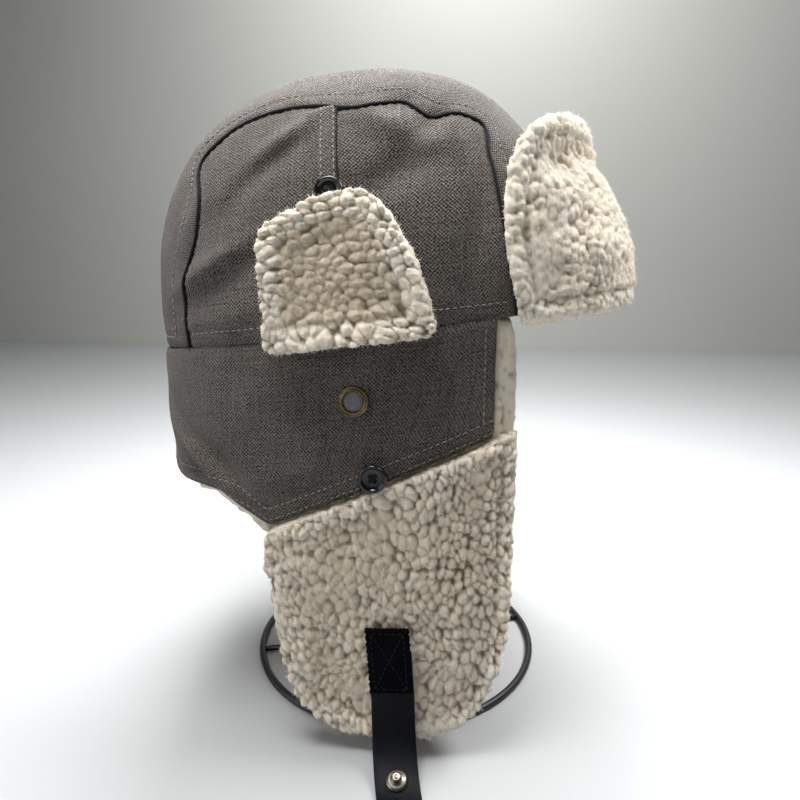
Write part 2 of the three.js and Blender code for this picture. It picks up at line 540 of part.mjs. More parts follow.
// Height of the crown's underside over a place on the floor
function ceiling(x, y) {
  const grow = -CANVAS;
  let [low, high] = [HAT_PLACE.z, HAT_PLACE.z + 2 * FORM.crownHeight];
  for (let i = 0; i < 40; i++) {
    const z = (low + high) / 2;
    const p = new THREE.Vector3(x, y - HAT_PLACE.y, z - HAT_PLACE.z).applyAxisAngle(new THREE.Vector3(1, 0, 0), CROWN_LEAN);
    const plan = planRadius(Math.atan2(p.y, p.x), FORM.halfWidth + grow, FORM.halfLength + grow, FORM.planPower);
    const share = Math.hypot(p.x, p.y) / plan;
    const inside = share ** FORM.wallPower + (p.z / (FORM.crownHeight + grow)) ** FORM.topPower < 1;
    if (inside) low = z;
    else high = z;
  }
  return low;
}
let headHeight = Infinity;
for (let i = 0; i < 48; i++) {
  const turn = (i / 48) * 2 * Math.PI;
  const reach = STAND.headRadius + STAND.headWire;
  headHeight = Math.min(headHeight, ceiling(reach * Math.cos(turn), reach * Math.sin(turn)) - STAND.headWire - GAP);
}
const quarter = Math.PI / 2;
const stand = ring(STAND.ringRadius, STAND.wire, STAND.wire, 36)
  .add(bar(STAND.barWire, STAND.ringRadius, STAND.wire, STAND.barTurn))
  .add(bar(STAND.barWire, STAND.ringRadius, STAND.wire, STAND.barTurn + quarter))
  .add(upright(STAND.hubRadius, 0, STAND.hubThickness, 20))
  .add(upright(STAND.post, STAND.hubThickness - 1, headHeight, 12))
  .add(ring(STAND.headRadius, STAND.headWire, headHeight, 18))
  .add(bar(STAND.headWire, STAND.headRadius, headHeight, 0)).add(bar(STAND.headWire, STAND.headRadius, headHeight, quarter));

const hatOnStand = new THREE.Group();
hatOnStand.add(hat, mesh('stand', stand, standPaint));

export default hatOnStand;
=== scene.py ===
import math
import bmesh
import bpy
import numpy as np
from mathutils import Matrix, Vector
from mathutils.kdtree import KDTree


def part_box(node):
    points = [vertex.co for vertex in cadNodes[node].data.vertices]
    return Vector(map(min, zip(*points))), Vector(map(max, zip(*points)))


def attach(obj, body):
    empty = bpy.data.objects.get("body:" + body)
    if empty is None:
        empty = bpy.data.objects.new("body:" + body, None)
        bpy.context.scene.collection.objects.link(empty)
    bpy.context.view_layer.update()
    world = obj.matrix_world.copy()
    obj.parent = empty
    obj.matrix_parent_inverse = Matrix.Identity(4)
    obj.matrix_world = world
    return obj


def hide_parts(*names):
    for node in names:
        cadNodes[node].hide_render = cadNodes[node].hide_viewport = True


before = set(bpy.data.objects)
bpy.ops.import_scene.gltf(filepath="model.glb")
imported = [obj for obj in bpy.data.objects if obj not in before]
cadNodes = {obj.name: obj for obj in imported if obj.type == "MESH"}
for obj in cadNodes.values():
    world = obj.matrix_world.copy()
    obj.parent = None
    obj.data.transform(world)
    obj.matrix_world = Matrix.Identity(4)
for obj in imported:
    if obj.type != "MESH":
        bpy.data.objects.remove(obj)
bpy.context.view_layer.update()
print("frame loaded")

# Lengths below are millimetres until a mesh is filled. x runs to the wearer's left, y to the back, z up.
inMetres = 0.001
inMillimetres = 1000
bothSides = (("Right", -1), ("Left", 1))
hatForm = {"halfWidth": 92.0, "halfLength": 110.0, "planPower": 2.56, "height": 127.0, "wallPower": 2.31,
           "topPower": 2.44, "lean": 6.1, "place": (0.0, 11.5, 197.0)}
skirtForm = {"longer": 1.9, "flatFrom": 60.0, "flatTo": 150.0, "flatPower": 3.3,
             "tuck": 2.5, "tuckFrom": 35.0, "tuckTo": 80.0}
leanCos = math.cos(math.radians(hatForm["lean"]))
leanSin = math.sin(math.radians(hatForm["lean"]))
hatPlace = np.array(hatForm["place"])


def crownToRow(p):  # from the leaning crown's own frame
    p = np.asarray(p, float)
    upright = np.stack([p[:, 0], p[:, 1] * leanCos + p[:, 2] * leanSin,
                        p[:, 2] * leanCos - p[:, 1] * leanSin], axis=1)
    return upright + hatPlace


def rowToCrown(p):
    p = np.asarray(p, float) - hatPlace
    return np.stack([p[:, 0], p[:, 1] * leanCos - p[:, 2] * leanSin,
                     p[:, 2] * leanCos + p[:, 1] * leanSin], axis=1)


def hatToRow(p):
    return np.asarray(p, float) + hatPlace


def smooth(x, low, high):
    t = np.clip((x - low) / (high - low), 0, 1)
    return t * t * (3 - 2 * t)


def hashed(cells, seed):  # 0 to 1 for each whole-number cell
    mixed = np.sin(cells @ np.array([127.1, 311.7, 74.7]) + seed * 17.13) * 43758.5453
    return mixed - np.floor(mixed)


def noise(p, size, seed):  # smooth noise from -1 to 1
    q = np.asarray(p, float) / size
    base = np.floor(q)
    f = q - base
    f = f * f * (3 - 2 * f)
    total = np.zeros(len(q))
    for i in (0, 1):
        for j in (0, 1):
            for k in (0, 1):
                weight = (f[:, 0] if i else 1 - f[:, 0]) * (f[:, 1] if j else 1 - f[:, 1])
                weight = weight * (f[:, 2] if k else 1 - f[:, 2])
                total += weight * hashed(base + np.array([i, j, k]), seed)
    return total * 2 - 1


foldGain = 1.7
foldsFade = 40  # nearer to the middle than this, the side folds die away
seamEase = 10  # the cloth's slack grows from nothing at a seam over this width
hemLine = 6.5  # how far above the crown's lower seam its hem is stitched
hemDip = 1.6


def foldLift(folds, side, y, z):
    lift = np.zeros_like(y)
    for where, cy, cz, slope, halfLength, halfWidth, height in folds:
        if where and where != side:
            continue
        a = math.radians(slope)
        along = (y - cy) * math.cos(a) + (z - cz) * math.sin(a)
        across = (z - cz) * math.cos(a) - (y - cy) * math.sin(a)
        lift += foldGain * height * np.exp(-(along / halfLength) ** 2 - (across / halfWidth) ** 2)
    return lift


# side (-1 right, 1 left, 0 both), y, z, slope in degrees, half length, half width, height
crownFolds = [
    (0, 55, 36, 159, 24, 4.5, 1.7), (0, 52, 27, 160, 22, 5, -1.3), (0, 17, 85, 147, 18, 4.5, 1.9),
    (0, 22, 76, 150, 18, 5, -1.2), (-1, -31, 85, 31, 22, 7, 2.0), (1, -36, 80, 40, 20, 8, 1.8),
    (0, -46, 84, -45, 14, 5, -2.0), (0, -10, 82, 92, 15, 3.5, 0.9), (0, -62, 45, 95, 30, 8, -2.8),
    (0, -58, 78, 84, 16, 5, 1.3), (0, -28, 62, 160, 24, 8, -2.2), (0, 64, 58, 120, 16, 5, 1.0),
    (0, 40, 62, 140, 20, 6, -1.0), (1, 40, 20, 20, 20, 9, 1.4), (0, 46, 14, 175, 22, 5, 0.8),
]
bandFolds = [
    (0, 72, -58, 33, 20, 3.6, 2.0), (0, 62, -66, 44, 18, 3.2, 1.8), (0, 52, -70, 56, 14, 3.2, 1.7),
    (0, 66, -57, 40, 16, 3, -1.5), (0, 56, -62, 50, 14, 3, -1.5), (0, 86, -60, 60, 16, 6, 1.2),
    (0, -20, -36, 155, 40, 12, -0.8), (0, 14, -60, 158, 28, 6, 0.9), (0, 40, -30, 120, 22, 9, 0.8),
    (0, -40, -20, 100, 18, 9, 0.7),
]


def planRadius(angle, halfWidth, halfLength, power):
    across = np.abs(np.cos(angle) / halfWidth) ** power
    along = np.abs(np.sin(angle) / halfLength) ** power
    return (across + along) ** (-1 / power)


def crownX(y, z, side):  # how far out the crown's face stands at a point seen from the side
    up = np.clip(z / hatForm["height"], 0, 1) ** hatForm["topPower"]
    share = (1 - up) ** (1 / hatForm["wallPower"])
    power = hatForm["planPower"]
    reach = np.clip(share ** power - np.abs(y / hatForm["halfLength"]) ** power, 0, None)
    return reach ** (1 / power) * hatForm["halfWidth"] + foldLift(crownFolds, side, y, z)


def wallPoint(angle, z, grow):  # a point of the hanging part, in the hat's frame
    flat = smooth(-z, skirtForm["flatFrom"], skirtForm["flatTo"])
    power = hatForm["planPower"] + (skirtForm["flatPower"] - hatForm["planPower"]) * flat
    tucked = skirtForm["tuck"] * smooth(-z, skirtForm["tuckFrom"], skirtForm["tuckTo"])
    longer = hatForm["halfLength"] + skirtForm["longer"] + grow - tucked
    r = planRadius(angle, hatForm["halfWidth"] + grow, longer, power)
    x, y = r * np.cos(angle), r * np.sin(angle)
    lift = foldLift(bandFolds, -1, y, z) * np.clip(np.abs(x) / foldsFade, 0, 1)
    return np.stack([x * (1 + lift / r), y * (1 + lift / r), z], axis=1)


def meshFrom(bm, name):
    mesh = bpy.data.meshes.new(name)
    bm.to_mesh(mesh)
    bm.free()
    return mesh


def addObject(name, mesh):
    obj = bpy.data.objects.new(name, mesh)
    bpy.context.scene.collection.objects.link(obj)
    return obj


def readPoints(mesh):
    co = np.empty(len(mesh.vertices) * 3)
    mesh.vertices.foreach_get("co", co)
    return co.reshape(-1, 3)


def writePoints(mesh, points):
    mesh.vertices.foreach_set("co", np.asarray(points, float).ravel())
    mesh.update()


def readMillimetres(mesh):
    return readPoints(mesh) * inMillimetres


def readNormals(mesh):
    n = np.empty(len(mesh.vertices) * 3)
    mesh.vertex_normals.foreach_get("vector", n)
    return n.reshape(-1, 3)


def writeUv(mesh, uv):  # uv holds one row for each vertex
    layer = mesh.uv_layers.new(name="cloth")
    corner = np.empty(len(mesh.loops), dtype=np.int32)
    mesh.loops.foreach_get("vertex_index", corner)
    layer.data.foreach_set("uv", uv[corner].astype(np.float32).ravel())


def writeAttribute(mesh, name, values):
    layer = mesh.attributes.new(name, "FLOAT", "POINT")
    layer.data.foreach_set("value", np.asarray(values, np.float32))


def shadeSmooth(mesh):
    mesh.polygons.foreach_set("use_smooth", np.ones(len(mesh.polygons), dtype=bool))
    mesh.update()


def arcUv(lattice):  # flat cloth millimetres for each lattice point, measured along the rows and the columns
    along = np.linalg.norm(np.diff(lattice, axis=1), axis=2)
    up = np.linalg.norm(np.diff(lattice, axis=0), axis=2)
    u = np.concatenate([np.zeros((len(lattice), 1)), np.cumsum(along, axis=1)], axis=1)
    v = np.concatenate([np.zeros((1, lattice.shape[1])), np.cumsum(up, axis=0)], axis=0)
    u -= u[:, lattice.shape[1] // 2][:, None]
    return np.stack([u, v], axis=2)


def gridMesh(name, lattice, uv):  # a grid whose points take their places from the lattice, rows by columns
    rows, cols = lattice.shape[0] - 1, lattice.shape[1] - 1
    bm = bmesh.new()
    bmesh.ops.create_grid(bm, x_segments=cols, y_segments=rows, size=0.5)
    mesh = meshFrom(bm, name)
    flat = readPoints(mesh) + 0.5
    i = np.rint(flat[:, 1] * rows).astype(int)
    j = np.rint(flat[:, 0] * cols).astype(int)
    writePoints(mesh, lattice[i, j] * inMetres)
    writeUv(mesh, uv[i, j])
    return mesh


def clothSheet(name, lattice, outward, thickness=0.0, uv=None):
    # outward is a point that the cloth's back faces
    mesh = gridMesh(name, lattice, arcUv(lattice) if uv is None else uv)
    away = readMillimetres(mesh) - np.asarray(outward, float)
    if (readNormals(mesh) * away).sum() < 0:
        mesh.flip_normals()
    shadeSmooth(mesh)
    obj = addObject(name, mesh)
    if thickness:
        wall = obj.modifiers.new("wall", "SOLIDIFY")
        wall.thickness = thickness * inMetres
        wall.offset = -1
        modified(obj)
    return obj


def tube(name, path, radius, sides=10, closed=False):  # a round cord, wire or seam cord along a path
    path = np.asarray(path, float)
    if closed:
        path = np.vstack([path, path[:1]])
        tangent = np.vstack([path[1] - path[-2], path[2:] - path[:-2], path[1] - path[-2]])
    else:
        tangent = np.gradient(path, axis=0)
    tangent /= np.linalg.norm(tangent, axis=1)[:, None]
    side = np.cross(tangent[0], (0.0, 0.0, 1.0) if abs(tangent[0][2]) < 0.9 else (1.0, 0.0, 0.0))
    frames = []
    for t in tangent:
        side = side - t * side.dot(t)
        side /= np.linalg.norm(side)
        frames.append((side, np.cross(t, side)))
    turns = np.linspace(0, 2 * math.pi, sides + 1)
    radius = np.broadcast_to(radius, (len(path),))
    lattice = np.array([[p + r * (math.cos(a) * f[0] + math.sin(a) * f[1]) for a in turns]
                        for p, r, f in zip(path, radius, frames)])
    if closed:
        lattice[-1] = lattice[0]
    mesh = gridMesh(name, lattice, arcUv(lattice))
    sealed(mesh)
    return addObject(name, mesh)


def sealed(mesh):  # merged where it meets itself, with its ends closed and its faces outward
    bm = bmesh.new()
    bm.from_mesh(mesh)
    bmesh.ops.remove_doubles(bm, verts=bm.verts, dist=1e-6)
    openEdges = [e for e in bm.edges if e.is_boundary]
    if openEdges:
        bmesh.ops.holes_fill(bm, edges=openEdges, sides=0)
    bmesh.ops.recalc_face_normals(bm, faces=bm.faces)
    bm.to_mesh(mesh)
    bm.free()
    shadeSmooth(mesh)


def joined(name, objects):  # several objects as one piece
    bm = bmesh.new()
    for obj in objects:
        bm.from_mesh(obj.data)
    mesh = meshFrom(bm, name)
    for obj in objects:
        old = obj.data
        bpy.data.objects.remove(obj)
        bpy.data.meshes.remove(old)
    shadeSmooth(mesh)
    return addObject(name, mesh)


def turned(name, profile, base, axis, steps=32):  # a profile of radius and height, spun about its axis
    bm = bmesh.new()
    verts = [bm.verts.new((r * inMetres, 0, h * inMetres)) for r, h in profile]
    edges = [bm.edges.new(pair) for pair in zip(verts, verts[1:])]
    bmesh.ops.spin(bm, geom=verts + edges, cent=(0, 0, 0), axis=(0, 0, 1), angle=2 * math.pi, steps=steps,
                   use_merge=True, use_duplicate=False)
    bmesh.ops.remove_doubles(bm, verts=bm.verts, dist=1e-7)
    bmesh.ops.recalc_face_normals(bm, faces=bm.faces)
    turn = Vector(axis).to_track_quat("Z", "Y").to_matrix().to_4x4()
    bmesh.ops.transform(bm, matrix=Matrix.Translation(Vector(base) * inMetres) @ turn, verts=bm.verts)
    mesh = meshFrom(bm, name)
    shadeSmooth(mesh)
    return addObject(name, mesh)


def spline(points, step):  # a smooth line through the points, evenly spaced
    points = np.asarray(points, float)
    ends = np.vstack([2 * points[0] - points[1], points, 2 * points[-1] - points[-2]])
    pieces = []
    for a, b, c, d in zip(ends, ends[1:], ends[2:], ends[3:]):
        t = np.linspace(0, 1, 24, endpoint=False)[:, None]
        pieces.append(0.5 * (2 * b + (c - a) * t + (2 * a - 5 * b + 4 * c - d) * t ** 2
                             + (3 * b - a - 3 * c + d) * t ** 3))
    return evenly(np.vstack(pieces + [points[-1:]]), step)


def evenly(line, step):  # the same line with even steps
    length = np.concatenate([[0], np.cumsum(np.linalg.norm(np.diff(line, axis=0), axis=1))])
    places = np.linspace(0, length[-1], max(2, int(round(length[-1] / step)) + 1))
    return np.stack([np.interp(places, length, line[:, k]) for k in range(line.shape[1])], axis=1)


def modified(obj):  # the mesh with its modifiers applied
    bpy.context.view_layer.update()
    graph = bpy.context.evaluated_depsgraph_get()
    mesh = bpy.data.meshes.new_from_object(obj.evaluated_get(graph))
    old = obj.data
    obj.modifiers.clear()
    obj.data = mesh
    bpy.data.meshes.remove(old)
    return mesh


def softCopy(name, node, voxel, rounds):
    # an even, rounded mesh from a solid of the frame
    bm = bmesh.new()
    bm.from_mesh(cadNodes[node].data)
    bmesh.ops.remove_doubles(bm, verts=bm.verts, dist=1e-6)
    mesh = meshFrom(bm, name)
    obj = addObject(name, mesh)
    remesh = obj.modifiers.new("remesh", "REMESH")
    remesh.mode = "VOXEL"
    remesh.voxel_size = voxel * inMetres
    if rounds:
        relax = obj.modifiers.new("relax", "SMOOTH")
        relax.factor = 0.5
        relax.iterations = rounds
    mesh = modified(obj)
    shadeSmooth(mesh)
    return obj


# Materials: the numbers go to the sockets of each shader
def linear(r, g, b):  # a colour as it is seen, out of 255, in the renderer's own values
    seen = [c / 255 for c in (r, g, b)]
    return tuple(c / 12.92 if c < 0.0404 else ((c + 0.055) / 1.055) ** 2.4 for c in seen) + (1.0,)


class Nodes:  # short hand for building a node tree
    def __init__(self, name):
        self.material = bpy.data.materials.new(name)
        self.material.use_nodes = True
        self.tree = self.material.node_tree
        self.shader = self.tree.nodes["Principled BSDF"]

    def add(self, kind, **settings):
        node = self.tree.nodes.new("ShaderNode" + kind)
        for key, value in settings.items():
            setattr(node, key, value)
        return node

    def link(self, source, target):
        self.tree.links.new(source, target)

    def value(self, socket, value):
        if hasattr(value, "is_output"):
            self.link(value, socket)
        else:
            socket.default_value = value

    def math(self, operation, a, b=0.0, clamp=False):
        node = self.add("Math", operation=operation, use_clamp=clamp)
        self.value(node.inputs[0], a)
        self.value(node.inputs[1], b)
        return node.outputs[0]

    def noise(self, vector, scale, detail=2.0, roughness=0.5, distortion=0.0):
        node = self.add("TexNoise")
        self.link(vector, node.inputs["Vector"])
        node.inputs["Scale"].default_value = scale
        node.inputs["Detail"].default_value = detail
        node.inputs["Roughness"].default_value = roughness
        node.inputs["Distortion"].default_value = distortion
        return node.outputs["Fac"]

    def mix(self, factor, a, b):
        node = self.add("Mix", data_type="RGBA")
        self.value(node.inputs[0], factor)
        self.value(node.inputs[6], a)
        self.value(node.inputs[7], b)
        return node.outputs[2]

    def ramp(self, factor, low, high):
        node = self.add("MapRange", clamp=True)
        self.value(node.inputs[0], factor)
        node.inputs[1].default_value = low
        node.inputs[2].default_value = high
        return node.outputs[0]

    def scaled(self, vector, x, y, z):
        node = self.add("Mapping")
        self.link(vector, node.inputs["Vector"])
        node.inputs["Scale"].default_value = (x, y, z)
        return node.outputs["Vector"]

    def bump(self, height, strength, distance, below=None):
        node = self.add("Bump")
        self.link(height, node.inputs["Height"])
        node.inputs["Strength"].default_value = strength
        node.inputs["Distance"].default_value = distance
        if below is not None:
            self.link(below, node.inputs["Normal"])
        return node.outputs["Normal"]

    def finish(self, colour=None, normal=None, **sockets):
        if colour is not None:
            self.value(self.shader.inputs["Base Color"], colour)
        if normal is not None:
            self.link(normal, self.shader.inputs["Normal"])
        for key, value in sockets.items():
            self.value(self.shader.inputs[key.replace("_", " ")], value)
        return self.material


weave = {"wander": 1.6, "wanderScale": 0.12, "weftPitch": 1.06, "threadAcross": 1.5, "threadAlong": 0.05,
         "patchScale": 0.035, "patchShare": 0.3, "depth": 0.0007}
# dark is the colour of the weave's gaps: painted shade there, together with the threads' own darker tone
canvasLook = {"pitch": 1.72, "light": linear(116, 109, 104), "dark": linear(10, 10, 10), "bump": 1.0}


def canvasMaterial(name, pitch, light, dark, bump):
    # plain weave in the cloth's own millimetres: each crossing is a small bump, with thick and thin threads.
    # Its colour is darker where the crossings are low, which is painted shade in the gaps between threads,
    # and it also varies with speck, thick and thin threads and broad patches, which are the cloth's own
    # uneven tone
    n = Nodes(name)
    cloth = n.add("UVMap", uv_map="cloth").outputs["UV"]
    wander = n.add("VectorMath", operation="SCALE")
    warpNoise = n.add("TexNoise")
    n.link(n.scaled(cloth, weave["wanderScale"], weave["wanderScale"], 1), warpNoise.inputs["Vector"])
    warpNoise.inputs["Scale"].default_value = 1.0
    n.link(warpNoise.outputs["Color"], wander.inputs[0])
    wander.inputs["Scale"].default_value = weave["wander"]
    bent = n.add("VectorMath", operation="ADD")
    n.link(cloth, bent.inputs[0])
    n.link(wander.outputs[0], bent.inputs[1])
    parts = n.add("SeparateXYZ")
    n.link(bent.outputs[0], parts.inputs[0])
    turn = 2 * math.pi / pitch
    warp = n.math("SINE", n.math("MULTIPLY", parts.outputs["X"], turn))
    weft = n.math("SINE", n.math("MULTIPLY", parts.outputs["Y"], turn * weave["weftPitch"]))
    crossing = n.math("MULTIPLY", warp, weft)
    height = n.math("MULTIPLY_ADD", crossing, 0.5)
    height.node.inputs[2].default_value = 0.5
    fine, long = weave["threadAcross"], weave["threadAlong"]
    alongWarp = n.noise(n.scaled(bent.outputs[0], fine, long, 1), 1.0, 2.0)
    alongWeft = n.noise(n.scaled(bent.outputs[0], long, fine, 1), 1.0, 2.0)
    speck = n.ramp(n.noise(cloth, 1.1, 2.0, 0.6), 0.3, 0.7)
    threads = n.math("ADD", n.math("MULTIPLY", alongWarp, 0.5), n.math("MULTIPLY", alongWeft, 0.5))
    thickThin = n.math("MULTIPLY", n.ramp(threads, 0.32, 0.68), 0.2)
    uneven = n.math("ADD", n.math("MULTIPLY", speck, 0.4), thickThin)
    # painted shade in the weave's gaps from the crossings' height, mixed with the cloth's own uneven tone
    shade = n.ramp(n.math("ADD", n.math("MULTIPLY", height, 0.4), uneven), 0.26, 0.74)
    large = n.noise(cloth, weave["patchScale"], 3.0, 0.55)
    patchy = n.math("MULTIPLY", n.math("SUBTRACT", large, 0.5), weave["patchShare"])
    shade = n.math("ADD", shade, patchy, clamp=True)
    relief = n.math("ADD", n.math("MULTIPLY", height, 0.7), n.math("MULTIPLY", uneven, 0.8))
    normal = n.bump(relief, bump, weave["depth"])
    return n.finish(n.mix(shade, dark, light), normal, Roughness=0.95, Sheen_Weight=0.16,
                    Sheen_Roughness=0.35, Specular_IOR_Level=0.15)


# top and warm are the fleece's own cream colours, and matted is its worn colour; low is the darker colour
# that painted shade in the creases and curls, and a fine speckle, mix the fleece towards
fleeceLook = {"top": linear(255, 246, 232), "low": linear(188, 165, 134),
              "warm": linear(252, 237, 214), "matted": linear(206, 190, 165)}
wool = {"patch": 45, "curl": 900, "fibre": 2600, "speckle": 1500, "curlDepth": 0.0012, "fibreDepth": 0.0007,
        "wearShare": 0.75, "curlShade": 0.5, "speckleFrom": 0.58, "speckleShade": 1.3}


def fleeceMaterial(name, top, low, warm, matted):
    n = Nodes(name)
    place = n.add("TexCoord").outputs["Object"]
    creviceShade = n.add("Attribute", attribute_name="creviceShade").outputs["Fac"]
    tone = n.add("Attribute", attribute_name="tone").outputs["Fac"]
    wear = n.add("Attribute", attribute_name="wear").outputs["Fac"]
    patch = n.noise(place, wool["patch"], 3.0, 0.6)
    curl = n.noise(place, wool["curl"], 3.0, 0.6, 1.2)
    fibre = n.noise(n.scaled(place, 1, 1, 0.45), wool["fibre"], 3.0, 0.65, 0.8)
    patchy = n.math("MULTIPLY", n.ramp(patch, 0.35, 0.65), 0.5)
    lightness = n.math("ADD", n.math("MULTIPLY", tone, 0.5), patchy)
    light = n.mix(lightness, warm, top)
    light = n.mix(n.math("MULTIPLY", wear, wool["wearShare"]), light, matted)
    grain = n.noise(place, wool["speckle"], 3.0, 0.7)
    speckle = n.math("MULTIPLY", n.math("SUBTRACT", grain, wool["speckleFrom"]), wool["speckleShade"])
    # painted shade: the creases between knots and the hollows of the curl bump darken the colour towards low
    shaded = n.math("MULTIPLY", n.math("SUBTRACT", curl, 0.5), wool["curlShade"])
    paintedShade = n.math("ADD", creviceShade, shaded)
    colour = n.mix(n.math("ADD", paintedShade, speckle, clamp=True), light, low)
    normal = n.bump(fibre, 1.0, wool["fibreDepth"], n.bump(curl, 0.9, wool["curlDepth"]))
    n.shader.inputs["Sheen Tint"].default_value = (1.0, 0.95, 0.88, 1.0)
    return n.finish(colour, normal, Roughness=1.0, Sheen_Weight=0.35, Sheen_Roughness=0.5,
                    Specular_IOR_Level=0.1, Subsurface_Weight=0.25, Subsurface_Scale=0.0015,
                    Subsurface_Radius=(1.0, 1.0, 1.0))


def plainCloth(name, colour, lighter, size, bump, rough=0.9, sheen=0.2, specular=0.2):
    n = Nodes(name)
    place = n.add("TexCoord").outputs["Object"]
    fuzz = n.noise(place, size, 4.0, 0.7, 0.5)
    patch = n.noise(place, size * 0.12, 2.0)
    mottle = n.math("ADD", n.math("MULTIPLY", fuzz, 0.7), n.math("MULTIPLY", patch, 0.3))
    mixed = n.mix(n.ramp(mottle, 0.35, 0.65), colour, lighter)
    return n.finish(mixed, n.bump(fuzz, bump, 0.0003), Roughness=rough, Sheen_Weight=sheen,
                    Sheen_Roughness=0.5, Specular_IOR_Level=specular)


leatherGrain = {"pebble": 1300, "worn": 90, "fine": 2400}
shellGrain = {"mottle": 420, "scratch": 1500}


def leatherMaterial(name, colour, lighter):
    n = Nodes(name)
    place = n.add("TexCoord").outputs["Object"]
    pebble = n.add("TexVoronoi", feature="DISTANCE_TO_EDGE")
    n.link(place, pebble.inputs["Vector"])
    pebble.inputs["Scale"].default_value = leatherGrain["pebble"]
    grain = n.ramp(pebble.outputs["Distance"], 0.0, 0.25)
    worn = n.noise(place, leatherGrain["worn"], 4.0, 0.6)
    fine = n.noise(place, leatherGrain["fine"], 3.0)
    rubbed = n.math("MULTIPLY", n.ramp(worn, 0.4, 0.7), 0.5)
    mixed = n.mix(n.math("ADD", n.math("MULTIPLY", grain, 0.25), rubbed), colour, lighter)
    rough = n.math("ADD", n.math("MULTIPLY", worn, 0.25), 0.32)
    return n.finish(mixed, n.bump(fine, 0.15, 0.0002, n.bump(grain, 0.3, 0.00012)), Roughness=rough,
                    Specular_IOR_Level=0.1)


def shellMaterial(name, colour, lighter, rough, metal, wear=0.3, coat=0.0):
    # moulded plastic, plated metal or paint: faint mottling and fine scratches
    n = Nodes(name)
    place = n.add("TexCoord").outputs["Object"]
    mottle = n.noise(place, shellGrain["mottle"], 4.0, 0.6)
    scratch = n.noise(n.scaled(place, 1, 6, 1), shellGrain["scratch"], 3.0, 0.7)
    mixed = n.mix(n.math("MULTIPLY", n.ramp(mottle, 0.42, 0.72), wear, clamp=True), colour, lighter)
    roughness = n.math("ADD", n.math("MULTIPLY", scratch, 0.18), rough - 0.09)
    return n.finish(mixed, n.bump(mottle, 0.12, 0.00015), Roughness=roughness, Metallic=metal,
                    Coat_Weight=coat)


canvas = canvasMaterial("duckCanvas", **canvasLook)
fleece = fleeceMaterial("berberFleece", **fleeceLook)
webbing = plainCloth("strapPatch", linear(3, 3, 5), linear(12, 12, 15), 1100, 0.8, 0.95, 0.0, 0.04)
threadGrey = plainCloth("greyThread", linear(112, 105, 99), linear(150, 142, 134), 1800, 0.4)
ringCloth = plainCloth("ringCloth", linear(84, 82, 86), linear(118, 116, 122), 1500, 0.8)
threadBlack = plainCloth("blackThread", linear(6, 6, 8), linear(18, 18, 22), 1800, 0.4, 0.8, 0.0, 0.2)
leather = leatherMaterial("strapLeather", linear(7, 8, 12), linear(17, 19, 27))
buttonGloss = shellMaterial("buttonGloss", linear(6, 6, 9), linear(16, 16, 21), 0.2, 0.0, 0.3, 0.1)
ringBrass = shellMaterial("antiqueBrass", linear(118, 102, 72), linear(54, 48, 38), 0.42, 1.0, 0.8)
studMetal = shellMaterial("antiqueSteel", linear(128, 122, 112), linear(66, 62, 56), 0.34, 1.0, 0.6)
standPaint = shellMaterial("standPaint", linear(9, 9, 11), linear(24, 24, 26), 0.45, 0.0, 0.3)
print("materials made")


def dress(obj, material, slot, *stands):
    obj.data.materials.clear()
    obj.data.materials.append(material)
    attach(obj, "root")
    if stands:
        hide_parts(*stands)
    return obj


# Camera, lamps and floor, before any piece of the hat
cameraSpot = {"at": (-0.3384, -0.0502, 0.2196), "towards": (0.9713, 0.1368, -0.1946),
              "lens": 26.85, "sensor": 36.0}
studio = {"floorSize": 6.0, "floorColour": linear(176, 178, 179), "wallColour": linear(196, 197, 191),
          "world": (0.92, 0.94, 0.94, 1.0), "worldStrength": 0.12, "wallAt": 1.7, "wallHeight": 2.6}
# Lamps: name, place, size, power and the place that it shines at, in metres and watts
hatMiddle = (0.0, 0.0, 0.17)
lamps = [("topLight", (-0.15, 0.10, 0.70), 0.3, 5.4, hatMiddle),
         ("frontLight", (0.08, -0.42, 0.72), 0.3, 7.0, hatMiddle),
         ("sideFill", (-0.60, 0.95, 0.45), 0.7, 4.6, hatMiddle),
         ("backTop", (0.32, 0.06, 0.74), 0.4, 8.5, hatMiddle),
         ("wallLight", (0.9, 0.0, 1.6), 0.9, 20.0, (1.7, 0.0, 0.4))]


def paper(name, colour):
    n = Nodes(name)
    faint = n.noise(n.add("TexCoord").outputs["Object"], 3.0, 2.0)
    dimmer = tuple(0.97 * c for c in colour[:3]) + (1.0,)
    return n.finish(n.mix(faint, colour, dimmer), None, Roughness=0.6)


